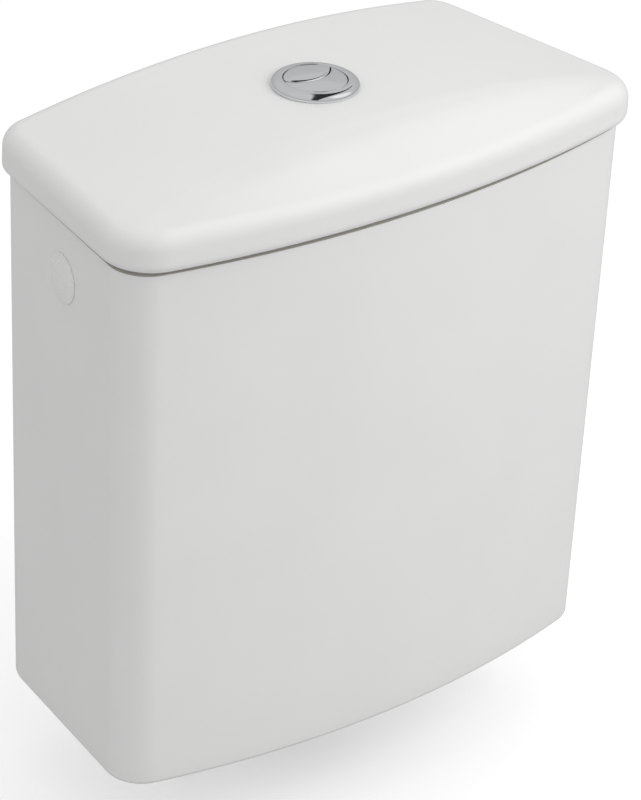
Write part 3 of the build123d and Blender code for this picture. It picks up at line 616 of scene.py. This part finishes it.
# A cloud is a spread and a scale, a gloss the lowest and highest roughness and a scale, and a bump a scale, a height
# in metres and a strength. Chrome is plated plastic, rubber has a dusty bloom, and steel has fine marks along Z.
CHROME = {"cloud": (0.02, 120.0), "gloss": (0.05, 0.11, 400.0), "bump": (160.0, 0.00006, 0.25), "Metallic": 1.0}
RUBBER = {
    "cloud": (0.25, 180.0), "gloss": (0.55, 0.75, 300.0), "bump": (1400.0, 0.00012, 0.6),
    "Sheen Weight": 0.15, "Sheen Roughness": 0.5,
}
STEEL = {
    "cloud": (0.08, 90.0), "gloss": (0.24, 0.42, 700.0), "bump": (1200.0, 0.00005, 0.6, (1.0, 1.0, 0.08)),
    "Metallic": 1.0,
}
TRAITS = {
    "chrome": CHROME,
    "cap_white": plastic(0.26, 0.00003),
    "white_plastic": plastic(0.42, 0.00005),
    "grey_plastic": plastic(0.45, 0.00005),
    "blue_plastic": plastic(0.38, 0.00005),
    "black_rubber": RUBBER,
    "red_rubber": RUBBER,
    "steel": STEEL,
    "spring_steel": STEEL,
}


def finish(slot):
    """The material of a record slot, made the first time it is asked for."""
    name, base = "finish_" + slot, getattr(bpy.context.scene.cistern_finishes, slot)
    made = bpy.data.materials.get(name)
    if made is None:
        made = china_material(name, base) if slot == "china" else layered_material(name, base, **TRAITS[slot])
    return made


class CISTERN_OT_tank(bpy.types.Operator):
    """Bow-fronted china tank, open on top, pierced for outlet, bolts, inlets and wall screws"""

    bl_idname = "cistern.tank"
    bl_label = "Make tank"

    def execute(self, context):
        tank, finishes = context.scene.cistern_tank, context.scene.cistern_finishes
        lip, foot, cove, edge = tank.rim_radius, tank.foot_radius, tank.inner_radius, tank.seat_edge
        step = tank.height - tank.seat_drop

        def rings(*arc):
            return edge_rings(lambda height: tank_plan_at(tank, height), *arc)

        outside = rings(foot, foot, foot, pi, pi / 2, 8)
        rim_out = np.concatenate([
            rings(edge, step - edge, edge, pi / 2, 0, 5),
            rings(tank.seat_step - edge, step + edge, edge, pi, 1.5 * pi, 4),
            rings(tank.seat_step + edge, tank.height - edge, edge, pi / 2, 0, 5),
        ])
        rim_in = rings(tank.wall - lip, tank.height - lip, lip, 0, -pi / 2, 7)
        corner = rings(tank.wall + cove, tank.floor + cove, cove, pi / 2, pi, 10)
        outlet = unit(tank_plan_at(tank, 0.0)) * tank.outlet_radius
        under, over = at_height(outlet, 0.0), at_height(outlet, tank.floor)
        grid = np.concatenate([
            np.linspace(under, outside[0], 14)[:-1],
            outside,
            np.linspace(outside[-1], rim_out[0], 34)[1:-1],
            rim_out,
            rim_in,
            np.linspace(rim_in[-1], corner[0], 26)[1:-1],
            corner,
            np.linspace(corner[-1], over, 14)[1:],
            np.linspace(over, under, 5)[1:-1],
        ])
        piece = surface_object("tank_china", grid)
        pierce(piece, self.cutters(tank))
        # The rim above the step is bare clay, kept darker as painted shade for the line under the lid.
        dress(piece, "tank", china_material("tank_china", finishes.china, finishes.clay, step))
        return {"FINISHED"}

    def cutters(self, tank):
        """Tools for the small holes, flared at the outer face as glaze rounds them off."""
        tools = []
        for side in (-1, 1):
            inlet, bolt, screw = (
                self.tool(radius, 2 * tank.wall, tank.hole_flare)
                for radius in (tank.inlet_radius, tank.bolt_hole_radius, tank.screw_hole_radius)
            )
            tools.append(along_inlet(inlet, tank, side))
            tools.append(bolt * (1.0, -1.0, -1.0) + (side * tank.bolt_spacing / 2, 0.0, 0.0))
            screw = np.stack([screw[..., 0], screw[..., 2], -screw[..., 1]], -1)
            tools.append(screw + (side * tank.screw_spacing / 2, tank.back, tank.screw_height))
        return [surface_object("cutter", tool) for tool in tools]

    def tool(self, radius, deep, flare):
        """A pin from below zero to just above it, widening by the flare as it comes out."""
        profile = np.array([
            (0.0, -deep), (radius, -deep), (radius, -flare), (radius + flare * 0.3, -flare * 0.3),
            (radius + flare, 0.0), (radius + flare, flare), (0.0, flare),
        ])
        return turned(profile, 40)


def lid_height(lid, rim_height, x, y):
    """Height of the lid's upper face.

    An arch falls from the middle to the ends by the rise times (x / span) squared. From the fall's start the
    face drops to the crease at the front: the drop is the arch's height over the crease, cut off softly at zero,
    times the share of the run that is covered, which starts as a parabola.
    """
    bulge = (x / lid.arch_half_span) ** 2
    arch = lid.top - lid.arch_rise * bulge
    fall = soft_part(arch - rim_height - lid.crease_height, lid.crease_softness)
    crease = lid.crease_front - lid.bow * bulge
    return arch - fall * eased((-lid.fall_start - y) / (crease - lid.fall_start), lid.crown_softness)


class CISTERN_OT_lid(bpy.types.Operator):
    """Crowned china lid with a bull-nosed edge and a locating lip below"""

    bl_idname = "cistern.lid"
    bl_label = "Make lid"

    def execute(self, context):
        lid, tank = context.scene.cistern_lid, context.scene.cistern_tank
        seat, low = tank.height, lid.lower_radius
        plan = cistern_plan(
            lid.half_width, lid.corner_line, lid.back, lid.bow, tank.side_taper, lid.front_radius, lid.back_radius
        )
        nose = self.nose(lid, seat, plan)
        hole = at_height(unit(plan) * lid.hole_radius, 0.0)
        top = np.linspace(hole, nose[0], 130)
        top[..., 2] = lid_height(lid, seat, top[..., 0], top[..., 1])
        top[-1] = nose[0]
        foot = edge_rings(lambda height: plan, low, seat + low, low, pi / 2, pi, 9)
        lip = self.lip(lid, tank, seat)
        inner = lip[-1][:, :2]
        roof = at_height(inner, lid_height(lid, seat, *inner.T) - lid.thickness)
        under = np.linspace(roof, hole, 60)
        under[..., 2] = lid_height(lid, seat, under[..., 0], under[..., 1]) - lid.thickness
        grid = np.concatenate([
            top[:-1],
            nose,
            np.linspace(nose[-1], foot[0], 5)[1:-1],
            foot,
            np.linspace(foot[-1], lip[0], 5)[1:-1],
            lip,
            np.linspace(lip[-1], roof, 7)[1:-1],
            under,
            np.linspace(under[-1], top[0], 5)[1:-1],
        ])
        dress(surface_object("lid_china", grid, sharp_angle=40.0), "lid")
        return {"FINISHED"}

    def nose(self, lid, seat, plan):
        """Rings of the upper edge: the circle that touches the sloping top and the upright side.

        With the top rising by m for each metre inwards, its centre is a radius in and lies a radius times
        sqrt(1 + m*m) below the top there, and it runs from the top's own normal to level.
        """
        radius = lid.upper_radius
        at_edge = lid_height(lid, seat, *plan.T)
        at_centre = lid_height(lid, seat, *drawn_in(plan, radius).T)
        slope = (at_centre - at_edge) / radius
        level = at_centre - radius * np.sqrt(1 + slope**2)
        return edge_rings(lambda height: plan, radius, level, radius, np.arctan(slope), pi / 2, 14)

    def lip(self, lid, tank, seat):
        """Rings of the locating lip, down its outside, across its rounded foot and up inside."""
        rim = tank_plan_at(tank, tank.height)
        outer = tank.wall + lid.lip_gap
        inner = outer + lid.lip_width
        r = lid.lip_radius
        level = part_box("lid")[0].z + r
        return np.concatenate([
            at_height(drawn_in(rim, outer), seat)[None],
            edge_rings(lambda height: rim, outer + r, level, r, pi / 2, pi, 5),
            edge_rings(lambda height: rim, inner - r, level, r, pi, 1.5 * pi, 5),
        ])


class CISTERN_OT_button(bpy.types.Operator):
    """Chromed ring with the full-flush crescent and the half-flush lens inside it"""

    bl_idname = "cistern.button"
    bl_label = "Make button"

    def execute(self, context):
        sizes = context.scene.cistern_button
        self.ring(sizes, context.scene.cistern_lid.top)
        self.cap(sizes, "full_flush_button", sizes.split_radius + sizes.split_gap / 2, -1)
        self.cap(sizes, "half_flush_button", sizes.split_radius - sizes.split_gap / 2, 1)
        return {"FINISHED"}

    def ring(self, sizes, top):
        """Turned ring: a quarter-round from its low outer edge up to a flat lip beside the bore."""
        high, rim, bore = top + sizes.ring_height, top + sizes.ring_rim, sizes.ring_bore
        lip = bore + sizes.ring_lip
        angle = np.linspace(pi / 2, 0.0, 26)
        dome = np.stack([
            lip + (sizes.ring_radius - lip) * np.cos(angle),
            rim + (high - rim) * np.sin(angle),
        ], -1)
        bevel = sizes.ring_rim / 2
        inside = np.array([
            (sizes.ring_radius, top), (bore, top + sizes.ring_foot), (bore, high - bevel),
            (bore + bevel * 0.3, high - bevel * 0.3), (bore + bevel, high),
        ])
        dress(surface_object("button_ring_chrome", turned(np.concatenate([dome, inside]), 160)), "button_ring")

    def cap(self, sizes, node, split_radius, side):
        """A button between two arcs: its outline on the button's circle and the arc that parts the two.

        For each place along the button a point runs on each arc, from tip to tip. The section between them is a
        flat foot, upright sides, rounded shoulders and a low dome of height c * (1 - (d / r) squared).
        """
        low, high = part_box(node)[0].z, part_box(node)[1].z
        radius, centre = sizes.radius, sizes.split_centre
        tip_y = (radius**2 - split_radius**2 + centre**2) / (2 * centre)
        tip_x = math.sqrt(radius**2 - tip_y**2)
        tip = math.atan2(tip_y, tip_x)
        split = math.atan2(tip_y - centre, tip_x)
        ends = (tip, -pi - tip) if side < 0 else (tip, pi - tip)
        ease = (1 - np.cos(np.linspace(0, pi, 90))) / 2
        outer_angle = ends[0] + (ends[1] - ends[0]) * ease
        inner_angle = split + (-pi - 2 * split) * ease
        outer = radius * np.stack([np.cos(outer_angle), np.sin(outer_angle)], -1)
        inner = (0.0, centre) + split_radius * np.stack([np.cos(inner_angle), np.sin(inner_angle)], -1)
        width = np.linalg.norm(inner - outer, axis=1)[:, None]
        squeeze = width / (width + sizes.edge + sizes.split_shoulder)
        turn = np.linspace(0.0, pi / 2, 8)[None, :]
        run = squeeze / np.maximum(width, MERGE_DISTANCE) * (1 - np.cos(turn))
        first, last = sizes.edge * run, 1 - sizes.split_shoulder * run[:, ::-1]
        drop = sizes.edge * squeeze * (1 - np.sin(turn))
        middle = first[:, -1:] + (last[:, :1] - first[:, -1:]) * np.linspace(0.0, 1.0, 18)[None, 1:-1]
        zero = np.zeros_like(width)
        mixes = np.concatenate([zero, first, middle, last, zero + 1], 1)
        drops = np.concatenate([zero, drop, 0 * middle, drop[:, ::-1], zero], 1)
        plan = outer[:, None] + (inner - outer)[:, None] * mixes[..., None]
        height = high - self.dome(sizes, plan, side) - drops
        height[:, [0, -1]] = low
        grid = np.concatenate([plan, height[..., None]], -1)
        dress(surface_object(node + "_chrome", grid, closed=(False, True), sharp_angle=50.0), node)

    def dome(self, sizes, plan, side):
        """Fall of a button's top: c times the squared distance from the middle, in shares of the half sizes.

        The front crescent shares the whole button's circle. The rear lens has its own middle and half depth.
        """
        if side < 0:
            return sizes.crown * (np.hypot(plan[..., 0], plan[..., 1]) / sizes.radius) ** 2
        front = sizes.split_centre - sizes.split_radius
        middle, depth = (sizes.radius + front) / 2, (sizes.radius - front) / 2
        return sizes.lens_crown * ((plan[..., 0] / sizes.radius) ** 2 + ((plan[..., 1] - middle) / depth) ** 2)


class CISTERN_OT_plug(bpy.types.Operator):
    """White plug of the spare inlet: a thin domed head, and its thread through the wall"""

    bl_idname = "cistern.plug"
    bl_label = "Make plug"

    def execute(self, context):
        sizes, tank = context.scene.cistern_fittings, context.scene.cistern_tank
        r, rim, edge = sizes.plug_radius, sizes.plug_rim, sizes.plug_edge
        shank, deep, pitch = sizes.plug_shank_radius, sizes.plug_shank_length, sizes.plug_pitch
        foot = rounded_polygon(
            [(0.0, -deep), (shank, -deep), (shank, 0.0), (r, 0.0), (r, rim), (0.0, rim)],
            [0.0, edge, 0.0, edge / 2, edge, 0.0],
        )
        face = np.linspace(1.0, 0.0, 12)[1:, None]
        face = np.concatenate([(r - edge) * face, rim + sizes.plug_dome * (1 - face**2)], 1)
        profile = denser(np.concatenate([foot[:-7], face]), sizes.stud_pitch / 3)
        cut = threaded(shank, 0.0, pitch, pitch / 2, -deep, -tank.wall)
        dress(surface_object("spare_inlet_plug", along_inlet(turned(profile, 96, cut), tank, -1)), "inlet_cap")
        return {"FINISHED"}


class CISTERN_OT_flush_fittings(bpy.types.Operator):
    """Flush valve's threaded base, overflow tube, flush float and foam seal"""

    bl_idname = "cistern.flush_fittings"
    bl_label = "Make flush fittings"

    def execute(self, context):
        sizes = context.scene.cistern_fittings
        self.base(sizes, *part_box("valve_base"))
        self.tube(sizes, *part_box("overflow_tube"))
        self.flush_float(sizes, *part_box("flush_float"))
        self.foam_seal(sizes, *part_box("pan_seal"))
        return {"FINISHED"}

    def base(self, sizes, low, high):
        """Threaded tail, clamping flange and raised seat."""
        pitch, edge = sizes.tail_pitch, sizes.tube_wall / 4
        shoulder = low.z + sizes.bore_depth
        profile = rounded_polygon(
            [
                (sizes.tail_bore, low.z), (sizes.tail_radius, low.z), (sizes.tail_radius, sizes.flange_low),
                (high.x, sizes.flange_low), (high.x, sizes.flange_high), (sizes.seat_radius, sizes.flange_high),
                (sizes.seat_radius, high.z - sizes.seat_lip_height), (sizes.seat_lip_radius, high.z),
                (sizes.throat_radius, high.z), (sizes.throat_radius, shoulder), (sizes.tail_bore, shoulder),
            ],
            edge, 5,
        )
        cut = threaded(sizes.tail_radius, sizes.flange_low - edge, pitch, pitch / 3, low.z, 0.0)
        dress(surface_object("valve_base_threaded", turned(denser(profile, pitch / 6), 120, cut)), "valve_base")

    def tube(self, sizes, low, high):
        """Plain tube with softened ends."""
        profile = rounded_tube(high.x - sizes.tube_wall, high.x, low.z, high.z)
        dress(surface_object("overflow_tube_smooth", turned(profile)), "overflow_tube")

    def flush_float(self, sizes, low, high):
        """Blown float with rounded shoulders and a parting line round its waist."""
        bore, outer, waist, seam = sizes.float_bore, high.x, (low.z + high.z) / 2, sizes.tube_wall / 5
        profile = rounded_polygon(
            [
                (bore, low.z), (outer, low.z), (outer, waist - 2 * seam), (outer - seam, waist - seam),
                (outer - seam, waist + seam), (outer, waist + 2 * seam), (outer, high.z), (bore, high.z),
            ],
            [seam, sizes.float_edge, seam, seam / 2, seam / 2, seam, sizes.float_edge, seam], 6,
        )
        dress(surface_object("flush_float_blown", turned(denser(profile, 0.008))), "flush_float")

    def foam_seal(self, sizes, low, high):
        """Thick foam ring with a recess for the backnut, drawn in to its foot."""
        recess, outer, edge = sizes.seal_recess, high.x, sizes.seal_edge
        ledge = high.z - sizes.seal_recess_depth
        profile = rounded_polygon(
            [
                (recess, high.z), (outer, high.z), (outer, (low.z + high.z) / 2), (outer - sizes.seal_taper, low.z),
                (sizes.seal_hole, low.z), (sizes.seal_hole, ledge), (recess, ledge),
            ],
            [0.0015, edge, 3 * edge, 2 * edge, edge, 0.0005, 0.0005], 8,
        )
        dress(surface_object("pan_seal_foam", turned(denser(profile, 0.003), 120)), "pan_seal")


def rounded_tube(inner, outer, low, high):
    """Section of a tube whose ends are rounded almost over its wall."""
    corners = [(inner, low), (outer, low), (outer, high), (inner, high)]
    return denser(rounded_polygon(corners, (outer - inner) / 2.2, 5), 0.02)


class CISTERN_OT_bolts(bpy.types.Operator):
    """Two coupling bolts with hexagonal heads, plain shanks and rolled threads"""

    bl_idname = "cistern.bolts"
    bl_label = "Make coupling bolts"

    def execute(self, context):
        sizes, tank = context.scene.cistern_fittings, context.scene.cistern_tank
        low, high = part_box("coupling_bolts")
        head = high.z - sizes.stud_head_height
        radius, top, pitch = sizes.stud_radius, sizes.stud_thread_top, sizes.stud_pitch
        plain_radius, head_radius = sizes.stud_shank_radius, sizes.stud_head_radius
        profile = rounded_polygon(
            [(0.0, low.z), (radius, low.z), (radius, top), (plain_radius, top), (plain_radius, head), (0.0, head)],
            [0.0, pitch / 2, pitch / 4, 0.0, 0.0, 0.0], 5,
        )
        cut = threaded(radius, top, pitch, pitch * 0.55, low.z, top)
        shank = turned(denser(profile, pitch / 5), 28, cut)
        cap = rounded_polygon(
            [(0.0, head), (head_radius, head), (head_radius, high.z), (0.0, high.z)],
            [0.0, 0.0003, 0.0008, 0.0], 5,
        )
        cap = hexagonal(turned(cap, 72), head_radius)
        places = [(side * tank.bolt_spacing / 2, 0.0, 0.0) for side in (-1, 1)]
        grids = [grid + place for place in places for grid in (shank, cap)]
        dress(surface_object("coupling_bolts_threaded", *grids), "coupling_bolts")
        return {"FINISHED"}


class CISTERN_OT_silencer(bpy.types.Operator):
    """Silencer tube that leads the fill valve's water down beside the wall"""

    bl_idname = "cistern.silencer"
    bl_label = "Make silencer tube"

    def execute(self, context):
        sizes, tank = context.scene.cistern_fittings, context.scene.cistern_tank
        high = -sizes.silencer_top
        profile = rounded_tube(sizes.silencer_bore, sizes.silencer_radius, high - sizes.silencer_length, high)
        points = turned(profile, 72)
        origin, outward, level, up = inlet_frame(tank, 1)
        grid = origin + (points[..., :1] - sizes.silencer_place) * outward
        grid = grid + points[..., 1:2] * level + points[..., 2:] * up
        dress(surface_object("silencer_tube_smooth", grid), "silencer_tube")
        return {"FINISHED"}


class CISTERN_OT_supply_thread(bpy.types.Operator):
    """Thread on the fill valve's shank, where the supply screws on outside the wall"""

    bl_idname = "cistern.supply_thread"
    bl_label = "Make supply thread"

    def execute(self, context):
        sizes, tank = context.scene.cistern_fittings, context.scene.cistern_tank
        root, ridge, pitch = sizes.supply_root, sizes.supply_ridge, sizes.supply_pitch
        low, high = sizes.supply_start, sizes.supply_start + sizes.supply_length
        core, crest = root - 2 * ridge, root + ridge
        profile = rounded_polygon(
            [(core, low), (crest, low), (crest, high), (core, high)], [0.0, ridge / 2, ridge / 2, 0.0], 4
        )

        def cut(angle, height, radius):
            ends = np.clip(np.minimum(height - low, high - height) / pitch, 0, 1)
            depth = ridge * (1 - ends) + thread_cut(angle, height, pitch, ridge, low, high)
            return (radius > root) * np.minimum(depth, radius - root)

        grid = along_inlet(turned(denser(profile, pitch / 8), 96, cut), tank, 1)
        piece = surface_object("supply_thread", grid)
        piece.data.materials.append(finish("white_plastic"))
        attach(piece, BODY_OF_NODE["fill_body"])
        return {"FINISHED"}


class CISTERN_OT_node_finishes(bpy.types.Operator):
    """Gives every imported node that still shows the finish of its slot"""

    bl_idname = "cistern.node_finishes"
    bl_label = "Finish the packed nodes"

    def execute(self, context):
        for node, piece in frame["nodes"].items():
            piece.data.materials.clear()
            piece.data.materials.append(finish(SLOT_OF_NODE[node]))
        return {"FINISHED"}


class CISTERN_OT_stage(bpy.types.Operator):
    """Pale floor, soft studio light and the camera"""

    bl_idname = "cistern.stage"
    bl_label = "Set the stage"

    def execute(self, context):
        settings = context.scene.cistern_stage
        context.scene.view_settings.view_transform = "Standard"
        self.floor(settings)
        self.world(context, settings)
        self.lamp("top_softbox", (0.1, -0.2, 1.35), (0.0, 0.0, 0.35), 1.5, settings.top_light)
        self.lamp("key_softbox", (0.7, -0.9, 1.05), (0.0, 0.0, 0.25), 0.7, settings.key_light)
        self.lamp("fill_softbox", (-0.5, -0.9, 0.8), (0.0, 0.0, 0.25), 0.5, settings.fill_light)
        self.camera(context, settings)
        return {"FINISHED"}

    def floor(self, settings):
        """Level sheet at the lowest point of the part."""
        low = min(cad_box[0][2], cad_box[1][2])
        side = np.linspace(-settings.floor_reach, settings.floor_reach, 3)
        x, y = np.meshgrid(side, side, indexing="ij")
        sheet = surface_object("stage_floor", np.stack([x, y, np.full_like(x, low)], -1), closed=(False, False))
        material, tree, shader = new_material("stage_floor")
        feed(tree, shader, {"Base Color": (*settings.floor_colour, 1.0), "Roughness": 0.9, "Specular IOR Level": 0.1})
        power = combined(tree, "MULTIPLY", add(tree, "LightPath").outputs["Is Camera Ray"], settings.floor_glow)
        glow = add(tree, "Emission", {"Strength": power})
        both = add(tree, "AddShader", {0: shader.outputs["BSDF"], 1: glow.outputs["Emission"]})
        feed(tree, tree.nodes["Material Output"], {"Surface": both.outputs["Shader"]})
        sheet.data.materials.append(material)

    def world(self, context, settings):
        """Even pale light on a white background. Gloss mirrors a studio: grey walls, a window, a lamp, a dark band."""
        world = bpy.data.worlds.new("studio")
        world.use_nodes = True
        context.scene.world = world
        tree = world.node_tree
        even = tree.nodes["Background"]
        feed(tree, even, {"Color": WHITE, "Strength": settings.world_light})
        walls = self.glow_towards(tree, (0.0, 0.0, 1.0), ((0.0, 0.50), (0.3, 0.62), (0.6, 0.70), (0.95, 0.74)))
        lamp = self.glow_towards(tree, (0.578, 0.592, 0.561), ((0.986, 0.0), (0.992, 0.72)))
        window = self.glow_towards(tree, (0.58, -0.32, 0.75), ((0.90, 0.0), (0.97, 0.42)))
        band = self.glow_towards(tree, (0.70, -0.70, -0.10), ((0.11, 0.05), (0.16, 1.0)), True)
        low = self.glow_towards(tree, (0.0, 0.0, 1.0), ((0.48, 1.0), (0.56, 0.0)))
        bright = combined(tree, "ADD", walls, window)
        dimmed = combined(tree, "MULTIPLY", bright, combined(tree, "MAXIMUM", band, low))
        glint = combined(tree, "MAXIMUM", dimmed, lamp)
        mirrored = add(tree, "Background", {"Strength": combined(tree, "MULTIPLY", glint, settings.mirror_light)})
        seen = add(tree, "Background", {"Color": WHITE})
        path = add(tree, "LightPath")
        shown = even.outputs["Background"]
        for ray, source in (("Is Glossy Ray", mirrored), ("Is Camera Ray", seen)):
            inputs = {"Fac": path.outputs[ray], 1: shown, 2: source.outputs["Background"]}
            shown = add(tree, "MixShader", inputs).outputs["Shader"]
        feed(tree, tree.nodes["World Output"], {"Surface": shown})

    def glow_towards(self, tree, direction, stops, both_ways=False):
        """Socket whose value follows the stops over the cosine between a ray and a direction, or its size."""
        inputs = {0: add(tree, "TexCoord").outputs["Generated"], 1: Vector(direction).normalized()}
        cosine = add(tree, "VectorMath", inputs, operation="DOT_PRODUCT").outputs["Value"]
        size = combined(tree, "ABSOLUTE" if both_ways else "MULTIPLY", cosine, 1.0)
        ramp = add(tree, "ValToRGB", {"Fac": size})
        ramp.color_ramp.interpolation = "EASE"
        elements = ramp.color_ramp.elements
        for number, (position, value) in enumerate(stops):
            element = elements[number] if number < 2 else elements.new(position)
            element.position = position
            element.color = (value, value, value, 1.0)
        return ramp.outputs["Color"]

    def lamp(self, name, place, target, size, power):
        """Square softbox that faces a point."""
        data = bpy.data.lights.new(name, "AREA")
        data.shape = "SQUARE"
        data.size = size
        data.energy = power
        lamp = bpy.data.objects.new(name, data)
        lamp.visible_glossy = False
        lamp.visible_camera = False
        lamp.location = place
        lamp.rotation_euler = (Vector(target) - Vector(place)).to_track_quat("-Z", "Y").to_euler()
        bpy.context.scene.collection.objects.link(lamp)

    def camera(self, context, settings):
        """Camera turned by azimuth, elevation and roll, with its frame's height as the long side."""
        turn = Euler((pi / 2 - settings.camera_elevation, 0.0, settings.camera_azimuth)).to_matrix()
        turn = turn @ Matrix.Rotation(settings.camera_roll, 3, "Z")
        data = bpy.data.cameras.new("camera")
        data.sensor_fit = "VERTICAL"
        data.sensor_height = settings.camera_frame
        data.lens = settings.camera_lens
        camera = bpy.data.objects.new("camera", data)
        camera.matrix_world = Matrix.Translation(settings.camera_place) @ turn.to_4x4()
        context.scene.collection.objects.link(camera)
        context.scene.camera = camera


SETTINGS = {
    "cistern_tank": CisternTankSizes,
    "cistern_lid": CisternLidSizes,
    "cistern_button": CisternButtonSizes,
    "cistern_fittings": CisternFittingSizes,
    "cistern_finishes": CisternFinishes,
    "cistern_stage": CisternStageSettings,
}
OPERATORS = (
    CISTERN_OT_tank,
    CISTERN_OT_lid,
    CISTERN_OT_button,
    CISTERN_OT_plug,
    CISTERN_OT_flush_fittings,
    CISTERN_OT_bolts,
    CISTERN_OT_silencer,
    CISTERN_OT_supply_thread,
    CISTERN_OT_node_finishes,
    CISTERN_OT_stage,
)


class CISTERN_PT_panel(bpy.types.Panel):
    """Lists the steps that build the cistern"""

    bl_idname = "CISTERN_PT_panel"
    bl_label = "Cistern"
    bl_space_type = "VIEW_3D"
    bl_region_type = "UI"
    bl_category = "Cistern"

    def draw(self, context):
        for step in OPERATORS:
            self.layout.operator(step.bl_idname)


def register():
    """Registers the settings, the steps and the panel."""
    for name, group in SETTINGS.items():
        bpy.utils.register_class(group)
        setattr(bpy.types.Scene, name, PointerProperty(type=group))
    for step in (*OPERATORS, CISTERN_PT_panel):
        bpy.utils.register_class(step)


def unregister():
    """Takes the panel, the steps and the settings away again."""
    for step in (CISTERN_PT_panel, *reversed(OPERATORS)):
        bpy.utils.unregister_class(step)
    for name, group in SETTINGS.items():
        delattr(bpy.types.Scene, name)
        bpy.utils.unregister_class(group)


def main():
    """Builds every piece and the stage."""
    register()
    bpy.ops.cistern.tank()
    bpy.ops.cistern.lid()
    bpy.ops.cistern.button()
    bpy.ops.cistern.plug()
    bpy.ops.cistern.flush_fittings()
    bpy.ops.cistern.bolts()
    bpy.ops.cistern.silencer()
    bpy.ops.cistern.supply_thread()
    bpy.ops.cistern.node_finishes()
    bpy.ops.cistern.stage()


if __name__ == "__main__":
    main()
